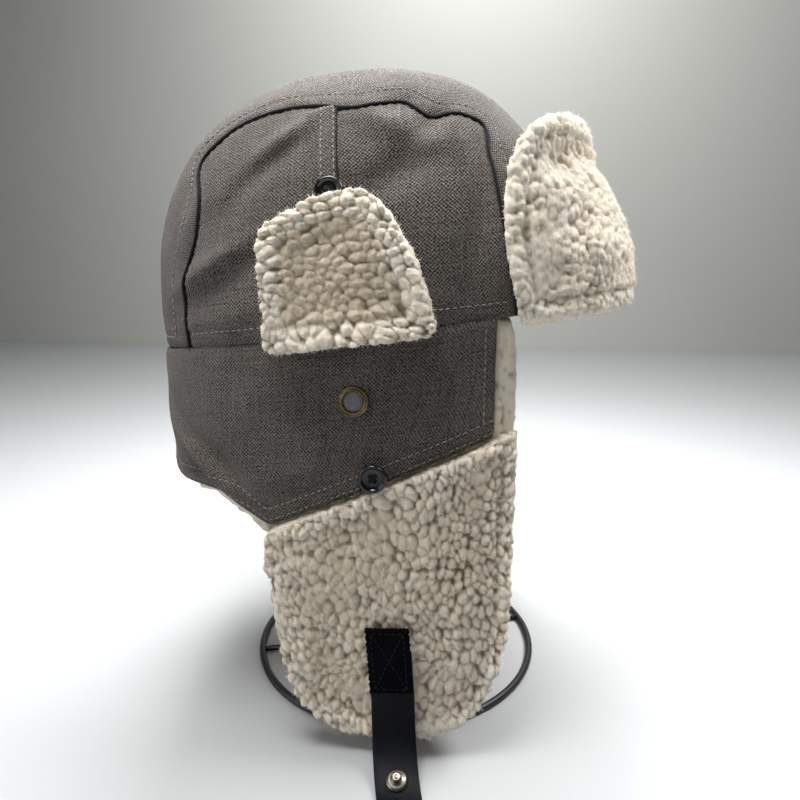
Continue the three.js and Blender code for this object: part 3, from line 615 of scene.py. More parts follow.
def setStudio():
    data = bpy.data.cameras.new("photoCamera")
    data.lens = cameraSpot["lens"]
    data.sensor_width = cameraSpot["sensor"]
    data.clip_start = 0.01
    camera = bpy.data.objects.new("photoCamera", data)
    camera.location = cameraSpot["at"]
    camera.rotation_euler = Vector(cameraSpot["towards"]).to_track_quat("-Z", "Y").to_euler()
    bpy.context.scene.collection.objects.link(camera)
    bpy.context.scene.camera = camera
    for name, at, size, power, target in lamps:
        lamp = bpy.data.lights.new(name, "AREA")
        lamp.energy = power
        lamp.size = size
        obj = bpy.data.objects.new(name, lamp)
        obj.location = at
        obj.rotation_euler = (Vector(target) - Vector(at)).to_track_quat("-Z", "Y").to_euler()
        bpy.context.scene.collection.objects.link(obj)
    bpy.context.scene.view_settings.view_transform = "Standard"
    world = bpy.data.worlds.new("paleRoom")
    world.use_nodes = True
    world.node_tree.nodes["Background"].inputs[0].default_value = studio["world"]
    world.node_tree.nodes["Background"].inputs[1].default_value = studio["worldStrength"]
    bpy.context.scene.world = world
    upright = Matrix.Rotation(-math.pi / 2, 4, "Y")
    wallPlace = Matrix.Translation((studio["wallAt"], 0, studio["wallHeight"] / 2)) @ upright
    sheets = (("floor", Matrix.Identity(4), "floorColour"), ("backdrop", wallPlace, "wallColour"))
    for name, place, colour in sheets:
        bm = bmesh.new()
        bmesh.ops.create_grid(bm, x_segments=4, y_segments=4, size=studio["floorSize"] / 2)
        if name == "backdrop":
            bmesh.ops.scale(bm, vec=(studio["wallHeight"] / studio["floorSize"], 1, 1), verts=bm.verts)
        bmesh.ops.transform(bm, matrix=place, verts=bm.verts)
        sheet = addObject(name, meshFrom(bm, name))
        sheet.data.materials.append(paper(name + "Paint", studio[colour]))


setStudio()
print("camera, lights and floor set")


# Crown: where its face is, which way it looks, and the seam line between strip and side panels
pipingLine = [(76, 0), (75.1, 2), (74.2, 16), (71.8, 30), (68.5, 37), (62.6, 49.1), (59.3, 64.7),
              (61.5, 77.3), (59.7, 84.7), (53.4, 89.6), (43.1, 95.3), (29.9, 98.8), (15.8, 100), (2.1, 98.6),
              (-12.7, 94.7), (-23.9, 95.1), (-34.9, 95), (-40.4, 91.1), (-45.7, 87.6), (-55.1, 88.3),
              (-63.2, 86.4), (-67.9, 83.4), (-69.4, 78), (-69.6, 69.5), (-71.1, 60), (-73.2, 40), (-75, 20),
              (-76, 0)]
pipingCorners = ((60.6, 81.5), (-67.9, 83.4))  # where the seam turns, behind and in front
pipingRoute = spline(pipingLine, 1.0)


def crownNormal(p):
    a, b, h = hatForm["halfWidth"], hatForm["halfLength"], hatForm["height"]
    k, q, t = hatForm["planPower"], hatForm["wallPower"], hatForm["topPower"]
    x, y, z = p[..., 0], p[..., 1], np.clip(p[..., 2], 0, None)
    total = (np.abs(x) / a) ** k + (np.abs(y) / b) ** k + 1e-9
    push = q * total ** (q / k - 1)
    n = np.stack([push * (np.abs(x) / a) ** (k - 1) / a * np.sign(x),
                  push * (np.abs(y) / b) ** (k - 1) / b * np.sign(y),
                  t * (z / h) ** (t - 1) / h], axis=-1)
    return n / np.linalg.norm(n, axis=-1, keepdims=True)


def onCrownRay(x, angle, guess=130.0):  # how far up a ray, at that angle from the back, the crown's face is
    a, b, h = hatForm["halfWidth"], hatForm["halfLength"], hatForm["height"]
    k, q, t = hatForm["planPower"], hatForm["wallPower"], hatForm["topPower"]
    low, high = np.zeros_like(x), np.full_like(x, guess)
    for _ in range(40):
        r = (low + high) / 2
        f = ((np.abs(x) / a) ** k + (np.abs(r * np.cos(angle)) / b) ** k) ** (q / k) \
            + (np.clip(r * np.sin(angle), 0, None) / h) ** t - 1
        inside = f < 0
        low, high = np.where(inside, r, low), np.where(inside, high, r)
    return low


slackWaves = {"long": 34, "longHeight": 0.8, "short": 15, "shortHeight": 0.35}


def slack(p, seed):  # the easy waviness of washed canvas
    flat = p.reshape(-1, 3)
    w = slackWaves
    wave = noise(flat, w["long"], seed) * w["longHeight"]
    wave = wave + noise(flat * (1, 1, 1.6), w["short"], seed + 1) * w["shortHeight"]
    return wave.reshape(p.shape[:-1])


def seamFall(distance, width):
    return np.exp(-(np.clip(distance, 0, None) / width) ** 2)


def stitchDent(distance):  # how far a row of stitches draws the canvas in
    return 0.3 * seamFall(np.abs(distance), 1.0)


def crownLattice(p):
    return crownToRow(p.reshape(-1, 3)).reshape(p.shape)


crownInside = crownToRow([[0, 0, 40]])[0]
stripShape = {"rows": 230, "cols": 110, "thickness": 1.7, "dip": 0.9, "dipWidth": 1.8, "pucker": 0.28,
              "slackSeed": 3, "slope": 1.15, "foldReach": 22, "stitchAt": 7, "stitchInset": 6.2}
sidePanelShape = {"rows": 84, "cols": 124, "thickness": 1.7, "dip": 0.9, "dipWidth": 1.8, "pucker": 0.3,
                  "slackSeed": 7}


def crownStrip():
    routeAngle = np.arctan2(pipingRoute[:, 1], pipingRoute[:, 0])
    angle = np.linspace(0, math.pi, stripShape["rows"] + 1)
    edgeY = np.interp(angle, routeAngle, pipingRoute[:, 0])
    edgeZ = np.interp(angle, routeAngle, pipingRoute[:, 1])
    edgeX = crownX(edgeY, edgeZ, 0) - foldLift(crownFolds, 0, edgeY, edgeZ)
    share = np.linspace(-1, 1, stripShape["cols"] + 1)
    x = edgeX[:, None] * share[None, :]
    turn = np.broadcast_to(angle[:, None], x.shape)
    r = onCrownRay(x, turn)
    p = np.stack([x, r * np.cos(turn), r * np.sin(turn)], axis=2)
    n = crownNormal(p)
    uv = arcUv(p)
    uv[..., 1] = uv[:, len(share) // 2, 1][:, None]
    toPiping = (1 - np.abs(share))[None, :] * edgeX[:, None] * stripShape["slope"]
    toHem = p[..., 2]
    held = seamFall(toPiping, stripShape["foldReach"])
    for side in (-1, 1):
        lift = foldLift(crownFolds, side, p[..., 1], p[..., 2]) * np.clip(np.abs(p[..., 0]) / foldsFade, 0, 1)
        p[..., 0] += np.where(np.sign(x) == side, side * lift * held, 0)
    inside = np.clip(toPiping / seamEase, 0, 1) * np.clip(toHem / seamEase, 0, 1)
    out = slack(p, stripShape["slackSeed"]) * inside
    out -= stripShape["dip"] * (seamFall(toPiping, stripShape["dipWidth"]) + seamFall(toHem, hemDip))
    flat = p.reshape(-1, 3)
    out += stripShape["pucker"] * noise(flat, 5, 11).reshape(x.shape) * seamFall(toPiping - 4, 7)
    out -= stitchDent(toPiping - stripShape["stitchAt"]) + stitchDent(toHem - hemLine)
    p += n * out[..., None]
    return clothSheet("crownStrip", crownLattice(p), crownInside, stripShape["thickness"], uv)


def panelLattice():  # the side panel seen from the side, from back to front and from the hem up
    corner = [int(np.argmin(np.hypot(pipingRoute[:, 0] - y, pipingRoute[:, 1] - z)))
              for y, z in pipingCorners]
    back = pipingRoute[:corner[0] + 1]
    top = pipingRoute[corner[0]:corner[1] + 1]
    front = pipingRoute[corner[1]:][::-1]

    def along(line, t):
        length = np.concatenate([[0], np.cumsum(np.linalg.norm(np.diff(line, axis=0), axis=1))])
        return np.stack([np.interp(t * length[-1], length, line[:, k]) for k in (0, 1)], axis=-1)

    u = np.linspace(0, 1, sidePanelShape["cols"] + 1)
    v = np.linspace(0, 1, sidePanelShape["rows"] + 1)
    hem = np.stack([76 - 152 * u, np.zeros_like(u)], axis=1)
    upper = along(top, u)
    left, right = along(back, v), along(front, v)
    uu, vv = u[None, :, None], v[:, None, None]
    blend = (1 - vv) * hem[None] + vv * upper[None] + (1 - uu) * left[:, None] + uu * right[:, None]
    lower = (1 - uu) * (1 - vv) * hem[0] + uu * (1 - vv) * hem[-1]
    blend -= lower + (1 - uu) * vv * upper[0] + uu * vv * upper[-1]
    return blend


def routeDistance(y, z, route):  # how near a point is to a line, both seen from the side
    best = np.full(y.shape, 1e9)
    for start in range(0, len(route), 4):
        py, pz = route[start]
        best = np.minimum(best, np.hypot(y - py, z - pz))
    return best


def sidePanel(name, side):
    yz = panelLattice()
    y, z = yz[..., 0], yz[..., 1]
    lift = foldLift(crownFolds, side, y, z)
    base = np.stack([side * (crownX(y, z, side) - lift), y, z], axis=2)
    uv = arcUv(base)
    n = crownNormal(base)
    toPiping = routeDistance(y, z, pipingRoute)
    p = base.copy()
    p[..., 0] += side * lift
    inside = np.clip(toPiping / seamEase, 0, 1) * np.clip(z / seamEase, 0, 1)
    out = slack(p, sidePanelShape["slackSeed"] + side) * inside
    out -= sidePanelShape["dip"] * (seamFall(toPiping, sidePanelShape["dipWidth"]) + seamFall(z, hemDip))
    pucker = noise(p.reshape(-1, 3), 5, 13 + side).reshape(y.shape)
    besideSeams = seamFall(toPiping, 9) + seamFall(np.abs(z - hemLine), 7) + seamFall(np.abs(y + 2.5) - 4, 6)
    out += sidePanelShape["pucker"] * pucker * besideSeams
    out -= stitchDent(z - hemLine)
    p += n * out[..., None]
    return clothSheet(name, crownLattice(p), crownInside, sidePanelShape["thickness"], uv)


def panelSurface(y, z, side, above=0.0):  # a place on a side panel, with the way it faces
    y, z = np.asarray(y, float), np.asarray(z, float)
    p = np.stack([side * crownX(y, z, side), y, z], axis=-1)
    n = crownNormal(np.stack([side * (crownX(y, z, side) - foldLift(crownFolds, side, y, z)), y, z], axis=-1))
    toPiping = routeDistance(y, z, pipingRoute)
    inside = np.clip(toPiping / seamEase, 0, 1) * np.clip(z / seamEase, 0, 1)
    out = slack(p, sidePanelShape["slackSeed"] + side) * inside + above
    return p + n * out[..., None], n


dress(crownStrip(), canvas, "canvas", "crown_centre_strip")
dress(sidePanel("sidePanelRight", -1), canvas, "canvas", "crown_side_right_front", "crown_side_right_back")
dress(sidePanel("sidePanelLeft", 1), canvas, "canvas", "crown_side_left_front", "crown_side_left_back")
print("crown panels made")

earSeam = {"back": 1.3, "front": -6.4, "top": 96.6, "rise": 0.75, "thickness": 0.9, "wander": 0.35}


def seamWander(up):  # how far the seam strays from a straight line
    return noise(np.stack([up, 0 * up, 0 * up], axis=1), 14, 5) * earSeam["wander"]


def earSeamStrip(name, side):  # the felled seam over the ear, a narrow strip that stands proud
    across = np.linspace(0, 1, 11)
    up = np.linspace(0.8, earSeam["top"], 86)
    y = earSeam["front"] + (earSeam["back"] - earSeam["front"]) * across[None, :] + 0 * up[:, None]
    y = y + seamWander(up)[:, None]
    z = np.broadcast_to(up[:, None], y.shape)
    edge = np.minimum(across, 1 - across)[None, :] * (earSeam["back"] - earSeam["front"])
    rise = earSeam["rise"] * np.clip(edge / 0.5, 0.1, 1) + 0.12 * seamFall(np.abs(edge - 2.2), 1.0)
    rise = rise - 0.22 * seamFall(np.abs(edge - 1.1), 0.4)
    p, n = panelSurface(y, z, side)
    p = p + n * rise[..., None]
    return clothSheet(name, crownLattice(p), crownInside, earSeam["thickness"])


# a black cord laid on the panel in front of each ear seam strip, as painted shadow
earShadowLine = {"y": -6.75, "from": 1.5, "to": 96.0, "radius": 0.42, "above": 0.1}


def earSeamShadowLine(name, side):  # a thin black cord in front of that strip: painted shadow along the strip's raised front edge
    up = np.linspace(earShadowLine["from"], earShadowLine["to"], 70)
    p, _ = panelSurface(earShadowLine["y"] + seamWander(up), up, side, earShadowLine["above"])
    return tube(name, crownToRow(p), earShadowLine["radius"], 8)


for sideName, side in bothSides:
    dress(earSeamStrip("earSeam" + sideName, side), canvas, "canvas")

pipingShape = {"radius": 1.0, "sides": 10, "proud": -0.35}


def pipingCord(name, side):
    route = evenly(pipingRoute, 1.6)
    y, z = route[:, 0], np.clip(route[:, 1], 0.8, None)
    p = np.stack([side * crownX(y, z, side), y, z], axis=1)
    p += crownNormal(p) * pipingShape["proud"]
    radius = pipingShape["radius"] * (1 + 0.07 * noise(p, 4, 21))
    return tube(name, crownToRow(p), radius, pipingShape["sides"])


pipingWeave = canvasMaterial("pipingWeave", 0.9, linear(26, 26, 29), linear(4, 4, 5), 0.7)
for sideName, side in bothSides:
    dress(pipingCord("piping" + sideName, side), pipingWeave, "piping", "piping_" + sideName.lower())
    dress(earSeamShadowLine("earShadowLine" + sideName, side), pipingWeave, "piping")
print("piping made")

# Band: from temple to temple round the neck, with a slanting lower edge over the ears
bandShape = {"grow": -0.5, "frontY": -67.0, "rows": 46, "cols": 290, "thickness": 1.8,
             "slack": 0.7, "slackSeed": 31, "slantTo": 34, "slant": 0.92, "sweep": 0.8 * math.pi,
             "lowerEdge": [(-80, -38.7), (-64, -45.6), (32.5, -87), (34.6, -87.4), (37, -86.2), (46, -80.3),
                           (52, -76.6), (58, -74.6), (70, -73.6), (140, -73)]}


# The turned hem at the lower edge: height, distance from the edge, width
bandHem = [(0.45, 4.3, 2.4), (-0.3, 7.4, 0.9), (-0.2, 1.9, 0.7)]


def bandLower(y):
    edge = np.array(bandShape["lowerEdge"])
    return np.interp(y, edge[:, 0], edge[:, 1])


def bandPoint(angle, share, grow):  # share runs from the seam, 0, to the lower edge, 1
    low = np.full_like(angle, -60.0)
    high = np.zeros_like(angle)
    for _ in range(8):
        low = bandLower(wallPoint(angle, low, grow)[:, 1])
        high = -wallPoint(angle, high, grow)[:, 1] * leanSin / leanCos
    z = high + (low - high) * share
    return wallPoint(angle, z, grow), high - z, z - low


def bandAngles(count, z=-30.0):  # even steps round the band, from the right temple to the left one
    spread = np.linspace(-bandShape["sweep"], bandShape["sweep"], 4000)
    p = wallPoint(math.pi / 2 - spread, np.full_like(spread, z), bandShape["grow"])
    keep = p[:, 1] > bandShape["frontY"]
    length = np.concatenate([[0], np.cumsum(np.linalg.norm(np.diff(p[keep], axis=0), axis=1))])
    return np.interp(np.linspace(0, length[-1], count), length, (math.pi / 2 - spread)[keep])


def bandSlant(y):  # turns a height above the slanting edge into the distance from it
    return np.where(y < bandShape["slantTo"], bandShape["slant"], 1.0)


def wallNormal(p):  # the way that the hanging part faces, level all round
    squeeze = (hatForm["halfWidth"] / hatForm["halfLength"]) ** 1.5
    flat = np.stack([p[..., 0], p[..., 1] * squeeze, 0 * p[..., 2]], axis=-1)
    flat = np.sign(flat) * np.abs(flat) ** 1.56
    return flat / np.linalg.norm(flat, axis=-1, keepdims=True)


def bandMesh():
    angle = bandAngles(bandShape["cols"] + 1)
    rows = []
    for share in np.linspace(0, 1, bandShape["rows"] + 1):
        p, below, above = bandPoint(angle, np.full_like(angle, share), bandShape["grow"])
        edge = above * bandSlant(p[:, 1])
        toFront = np.clip(p[:, 1] - bandShape["frontY"], 0, None)
        inside = np.clip(below / seamEase, 0, 1) * np.clip(edge / 9, 0.15, 1) * np.clip(toFront / 9, 0.2, 1)
        out = slack(p, bandShape["slackSeed"]) * bandShape["slack"] * inside
        out -= 1.0 * seamFall(below, 1.8)
        out += sum(height * seamFall(np.abs(edge - at), width) for height, at, width in bandHem)
        out += 0.35 * noise(p, 5, 33) * seamFall(np.clip(edge - 4, 0, None), 6)
        out += 0.25 * noise(p, 5, 34) * seamFall(np.clip(toFront - 3, 0, None), 5)
        out -= 0.25 * seamFall(np.abs(toFront - 4.2), 0.9)
        rows.append(p + wallNormal(p) * out[:, None])
    lattice = hatToRow(np.array(rows))
    return clothSheet("sideBand", lattice, hatToRow([[0, 0, -40]])[0], bandShape["thickness"])


dress(bandMesh(), canvas, "canvas", "side_band")
print("band made")


# Fleece: each piece is its solid's shape, remeshed fine, puffed along its edge and raised into curled knots
visorEnd = np.array([(-77, -8), (-76, -2), (-73, 20), (-71.9, 32), (-73.5, 50), (-79, 66), (-90, 80),
                     (-112, 85.5)], float)
coverOutline = np.array([(23, -5), (27.4, -3.5), (28.7, 1), (26.9, 38), (24.5, 45.6), (18.1, 50.2),
                         (11.4, 52.8), (2.9, 55.5), (-5.9, 57.2), (-19.9, 56), (-27.8, 47.9), (-30.6, 42.8),
                         (-36.3, 30.1), (-40, 16.8), (-42.7, 2.9), (-41.9, -2.3), (-37, -4.1),
                         (23, -5)], float)
flapOutline = np.array([(34.5, -89), (35.8, -98), (28, -153.2), (23.3, -168.8), (14.9, -179.9),
                        (2.6, -186.6), (-13.5, -188.8), (-29, -188.6), (-43.7, -186.7), (-55.6, -181),
                        (-64.8, -171.5), (-72, -156.2), (-75.7, -141.8), (-77, -127), (-78, -41),
                        (34.5, -89)], float)


def outlineDistance(y, z, outline):
    best = np.full(y.shape, 1e9)
    for (ay, az), (by, bz) in zip(outline, outline[1:]):
        dy, dz = by - ay, bz - az
        t = np.clip(((y - ay) * dy + (z - az) * dz) / (dy * dy + dz * dz), 0, 1)
        best = np.minimum(best, np.hypot(y - ay - t * dy, z - az - t * dz))
    return best


def around(cells, i, j, k):  # the points kept so far in a cell and in those beside it
    for a in (i - 1, i, i + 1):
        for b in (j - 1, j, j + 1):
            for c in (k - 1, k, k + 1):
                yield from cells.get((a, b, c), ())


def scatter(points, spacing, seed):  # evenly scattered points, no two nearer than the spacing
    order = np.random.default_rng(seed).permutation(len(points))[: len(points) * 3 // 5]
    cells = {}
    kept = []
    least = spacing * spacing
    homes = np.floor(points[order] / spacing).astype(int).tolist()
    for (x, y, z), home in zip(points[order].tolist(), homes):
        for px, py, pz in around(cells, *home):
            if (px - x) ** 2 + (py - y) ** 2 + (pz - z) ** 2 < least:
                break
        else:
            cells.setdefault(tuple(home), []).append((x, y, z))
            kept.append((x, y, z))
    return kept


nearestKnots = 4


def knots(points, spacing, seed, reach, uneven):
    # round domes on scattered middles: a point's height on them, how far it is from a crease, and its dome
    seeds = scatter(points, spacing, seed)
    tree = KDTree(len(seeds))
    for i, s in enumerate(seeds):
        tree.insert(s, i)
    tree.balance()
    radius = reach * (1 + uneven * (np.random.default_rng(seed + 3).random(len(seeds)) - 0.5))
    found = [tree.find_n(p, nearestKnots) for p in points.tolist()]
    apart = np.array([[f[2] for f in four] for four in found]) / spacing
    owner = np.array([[f[1] for f in four] for four in found])
    domes = np.sqrt(np.clip(radius[owner] ** 2 - apart ** 2, 0, None))
    order = np.argsort(-domes, axis=1)
    rows = np.arange(len(points))
    first, second = domes[rows, order[:, 0]], domes[rows, order[:, 1]]
    return first, (first - second) * spacing, owner[rows, order[:, 0]]


# the crevice width and the depth set how wide and how dark the painted shade in the creases between knots is
knotShape = {"height": 4.0, "reach": 0.82, "sink": 0.62, "uneven": 0.3, "groove": 0.65, "grooveWidth": 0.9,
             "lobe": 0.8, "lobeSpacing": 1.5, "lobeReach": 0.8, "lobeUneven": 0.3, "lobeSink": 0.6,
             "fine": 0.3, "fineSize": 1.4, "wander": 5.0, "wanderSize": 26, "curl": 1.2, "curlSize": 6.0,
             "crimp": 0.35, "crimpSize": 2.4, "merged": 0.45, "mergedSize": 8, "matting": 0.3, "turning": 0.3,
             "pressed": 1.6, "creviceShadeWidth": 0.8, "depth": 0.8, "rounds": 2}


def wandering(points, size, seed):
    return np.stack([noise(points, size, seed + i) for i in range(3)], axis=1)


def relaxed(mesh, points, share, times=2):  # each point drawn towards the mean of its neighbours
    ends = np.empty(len(mesh.edges) * 2, np.int64)
    mesh.edges.foreach_get("vertices", ends)
    a, b = ends[0::2], ends[1::2]
    count = np.bincount(ends, minlength=len(points))[:, None]
    for _ in range(times):
        total = np.stack([np.bincount(a, points[b, i], len(points))
                          + np.bincount(b, points[a, i], len(points)) for i in range(3)], axis=1)
        points = points + (total / count - points) * share[:, None]
    return points


def flatness(normals):  # 1 on a piece's broad faces, 0 where it turns over at its edge
    return np.clip(np.hypot(normals[:, 0], normals[:, 1] * 0.6), 0, 1)


def fleecePiece(name, node, voxel, look, seed, rim, bare, hold=None):
    # rim(points, normals) says how far the surface is raised and how matted it is, before it has knots
    k = knotShape
    obj = softCopy(name, node, voxel * (1.0), look.get("rounds", k["rounds"]))
    mesh = obj.data
    points = readMillimetres(mesh)
    normals = readNormals(mesh)
    raised, wear = rim(points, normals)
    points = points + normals * raised[:, None]
    space = points + wandering(points, k["wanderSize"], seed) * k["wander"]
    space = (space + wandering(points, k["curlSize"], seed + 20) * k["curl"]
             + wandering(points, k["crimpSize"], seed + 30) * k["crimp"]) * np.array(look["stretch"])
    dome, border, owner = knots(space, look["spacing"], seed, k["reach"], k["uneven"])
    chance = np.random.default_rng(seed + 5).random(owner.max() + 1)
    # some knots run together
    joint = 1 - k["merged"] * smooth(noise(points, k["mergedSize"], seed + 40), 0.0, 0.6)
    dome = k["reach"] * (1 - joint) + dome * joint
    lobe, _, _ = knots(space, k["lobeSpacing"], seed + 9, k["lobeReach"], k["lobeUneven"])
    height = look["height"] * (k["height"] * (dome - k["sink"]) + k["lobe"] * (lobe - k["lobeSink"]))
    height += k["fine"] * noise(points, k["fineSize"], seed + 7)
    height -= look["height"] * k["groove"] * joint * np.exp(-(border / k["grooveWidth"]) ** 2)
    turning = 1 - flatness(normals)
    lift = height * (1 - k["matting"] * wear - k["turning"] * smooth(turning, 0.15, 0.75))
    if hold is not None:  # where another layer lies on the fleece
        free = hold(points, normals)
        lift = lift * free - k["pressed"] * (1 - free)
    softened = relaxed(mesh, points + normals * lift[:, None], 0.25 + 0.3 * smooth(turning, 0.1, 0.6))
    writePoints(mesh, softened * inMetres)
    # painted shade: this attribute darkens the fleece's colour in the creases between knots
    crease = np.exp(-(border / k["creviceShadeWidth"]) ** 2)
    writeAttribute(mesh, "creviceShade", crease * joint * look.get("depth", k["depth"]))
    writeAttribute(mesh, "tone", chance[owner])
    writeAttribute(mesh, "wear", wear)
    shadeSmooth(mesh)
    dress(obj, fleece, "fleece", node)
    doublings = look["fibres"] - (2 if name.endswith("Left") else 0)  # fewer on the side away from the camera
    fibres(name.replace("Fleece", "Fibres"), mesh, doublings, seed, wear, bare(points, normals))


def strands(name, doublings):  # thin cones, all in one place as yet
    bm = bmesh.new()
    bmesh.ops.create_cone(bm, cap_ends=True, segments=3, radius1=1, radius2=0, depth=1)
    bmesh.ops.remove_doubles(bm, verts=bm.verts, dist=1e-5)
    bmesh.ops.recalc_face_normals(bm, faces=bm.faces)
    mesh = bpy.data.meshes.new(name)
    bm.to_mesh(mesh)
    bm.clear()
    bm.from_mesh(mesh)
    single = readPoints(mesh)
    for _ in range(doublings):
        bmesh.ops.duplicate(bm, geom=bm.verts[:] + bm.edges[:] + bm.faces[:])
    bm.to_mesh(mesh)
    bm.free()
    return mesh, single


fibreShape = {"length": 2.3, "radius": 0.12, "stray": 0.55, "sunk": 0.35}


def fibres(name, ground, doublings, seed, wear, bare):
    # short stray hairs that stand out of a fleece
    k = fibreShape
    mesh, single = strands(name, doublings)
    count = len(mesh.vertices) // len(single)
    rng = np.random.default_rng(seed + 70)
    roots = rng.choice(np.flatnonzero(bare), count)
    points, normals = readMillimetres(ground)[roots], readNormals(ground)[roots]
    out = unit(normals + k["stray"] * rng.normal(size=(count, 3)))
    across = unit(np.cross(out, rng.normal(size=(count, 3))))
    third = np.cross(out, across)
    length = k["length"] * rng.uniform(0.4, 1.2, count)[:, None]
    points = points - normals * k["sunk"]
    placed = [points + k["radius"] * (x * across + y * third) + (z + 0.5) * length * out
              for x, y, z in single]
    writePoints(mesh, np.stack(placed, axis=1).reshape(-1, 3) * inMetres)
    writeAttribute(mesh, "tone", np.repeat(rng.random(count), len(single)))
    writeAttribute(mesh, "wear", np.repeat(wear[roots], len(single)))
    dress(addObject(name, mesh), fleece, "fleece")


def unit(vectors):
    return vectors / np.linalg.norm(vectors, axis=1)[:, None]


def sideOut(points, normals):  # all but the side towards the hat
    return np.sign(points[:, 0]) * normals[:, 0] > -0.4


visorTurn = {"centre": 40, "radius": 78}  # the round that the visor is bent to, seen from above


def visorOut(points, normals):
    p = points - hatPlace
    outward = p[:, 0] * normals[:, 0] + (p[:, 1] + visorTurn["centre"]) * normals[:, 1]
    return outward > -30


# Each piece's rolled rim, in millimetres, and its soft waves: height, size and seed
rims = {"cover": {"inside": 2.2, "puff": 0.9, "groove": 1.4, "at": 10.5},
        "flap": {"inside": 0.4, "puff": 0.8, "groove": 0.7, "at": 9.5},
        "visor": {"inside": 0.6, "puff": 1.2, "groove": 2.2, "at": 10.5}}
waves = {"cover": [(0.7, 18, 61)], "flap": [(1.4, 30, 77), (0.6, 14, 78)],
         "visor": [(1.6, 32, 91), (0.8, 13, 92)], "lining": [(1.0, 30, 55)]}


def softness(points, kind):
    return sum(height * noise(points, size, seed) for height, size, seed in waves[kind])


def rolledEdge(distance, inside, puff, groove, at):
    # a soft rim where the cloth turns over, with a groove inside it and a slightly sunken middle
    rise = puff * np.exp(-((distance - 3.5) / 4.0) ** 2)
    return rise - groove * np.exp(-((distance - at) / 1.7) ** 2) - inside * smooth(distance, at, at + 6)


def coverRim(points, normals):
    p = rowToCrown(points)
    broad = np.clip(np.abs(normals[:, 0]) * 1.4 - 0.2, 0, 1)
    d = outlineDistance(p[:, 1], p[:, 2], coverOutline)
    raised = rolledEdge(d, **rims["cover"]) * broad
    raised = raised - 0.8 * (1 - broad) + softness(points, "cover") * smooth(d, 3, 12)
    return raised, smooth(d, 8.0, 11.5) * broad


flapFold = {"height": 1.6, "at": 6.5, "width": 1.5, "from": 55, "to": 62}  # beside the front edge


def flapRim(points, normals):
    p = points - hatPlace
    outer = np.clip(np.sign(points[:, 0]) * normals[:, 0] * 3, 0, 1)
    d = outlineDistance(p[:, 1], p[:, 2], flapOutline)
    soft = softness(points, "flap")
    edge = smooth(1 - np.abs(normals[:, 0]), 0.15, 0.7)
    f = flapFold
    fold = f["height"] * np.exp(-((d - f["at"]) / f["width"]) ** 2) * smooth(-p[:, 1], f["from"], f["to"])
    puffed = rolledEdge(d, **rims["flap"]) + soft * smooth(d, 3, 12)
    raised = np.where(outer > 0.5, puffed, 0.4 * soft) - 1.3 * edge - fold * outer
    matted = 0.55 + 0.35 * noise(points, 24, 80)
    return raised, smooth(d + 2 * noise(points, 16, 79), 5.0, 14.0) * matted * outer


visorTop = 85
visorDimple = {"depth": 5.0, "y": -101, "wide": 9, "z": 64, "high": 8}
visorCrease = {"depth": 2.2, "z": 68, "slope": 0.22, "y": -112, "wide": 4.5, "from": 98, "to": 106}


def visorRim(points, normals):
    p = rowToCrown(points)
    y, z = p[:, 1], p[:, 2]
    near = np.interp(z, visorEnd[:, 1], visorEnd[:, 0]) - y
    d = np.minimum(np.minimum(near, visorTop - z), z + 5)
    front = np.clip((np.abs(normals[:, 0]) + np.clip(-normals[:, 1], 0, 1)) * 1.3 - 0.3, 0, 1)
    m, c = visorDimple, visorCrease
    dimple = -m["depth"] * np.exp(-((y - m["y"]) / m["wide"]) ** 2 - ((z - m["z"]) / m["high"]) ** 2)
    above = (z - c["z"]) - c["slope"] * (y - c["y"])
    crease = -c["depth"] * np.exp(-(above / c["wide"]) ** 2) * smooth(-y, c["from"], c["to"])
    rolled = rolledEdge(d, **rims["visor"])
    raised = (rolled + dimple + crease + softness(points, "visor") * smooth(d, 2, 12)) * front
    raised = raised - 1.6 * np.clip(normals[:, 1], 0, 1)
    return raised, 0.25 * smooth(d, 8.0, 14.0)


def liningRim(points, normals):
    return softness(points, "lining"), np.full(len(points), 0.1)


def liningHold(points, normals):  # 1 where the lining's face is open, 0 where the band or a flap lies on it
    p = points - hatPlace
    outward = (p[:, 0] * normals[:, 0] + p[:, 1] * normals[:, 1]) / np.hypot(p[:, 0], p[:, 1])
    front = bandShape["frontY"]
    underBand = smooth(p[:, 2] - bandLower(p[:, 1]), 0, 3) * smooth(p[:, 1], front - 1, front + 3)
    inFlap = (p[:, 1] < 36) * (p[:, 1] > -78)
    underFlap = smooth(outlineDistance(p[:, 1], p[:, 2], flapOutline), 0.5, 3) * inFlap
    covered = np.clip(underBand + underFlap * (p[:, 2] < bandLower(p[:, 1])), 0, 1)
    return 1 - covered * np.clip(outward * 3, 0, 1)


def liningOut(points, normals):
    return liningHold(points, normals) > 0.5


# a look's depth sets how dark the painted shade in its creases is
fleeceLooks = {"flap": {"spacing": 3.1, "stretch": (1, 1, 0.7), "height": 0.9, "fibres": 14},
               "cover": {"spacing": 3.3, "stretch": (1, 0.75, 1), "height": 0.85, "fibres": 12},
               "visor": {"spacing": 3.3, "stretch": (1, 0.85, 0.85), "height": 0.62, "depth": 0.5,
                         "fibres": 13},
               "lining": {"spacing": 4.2, "stretch": (1, 1, 0.8), "height": 0.9, "rounds": 1, "fibres": 11}}

# How fine each remesh is
voxels = {"flapRight": 0.76, "coverRight": 0.62, "flapLeft": 1.25, "coverLeft": 1.11, "visor": 0.97,
          "lining": 2.1, "coverBack": 1.3, "visorBack": 1.9}

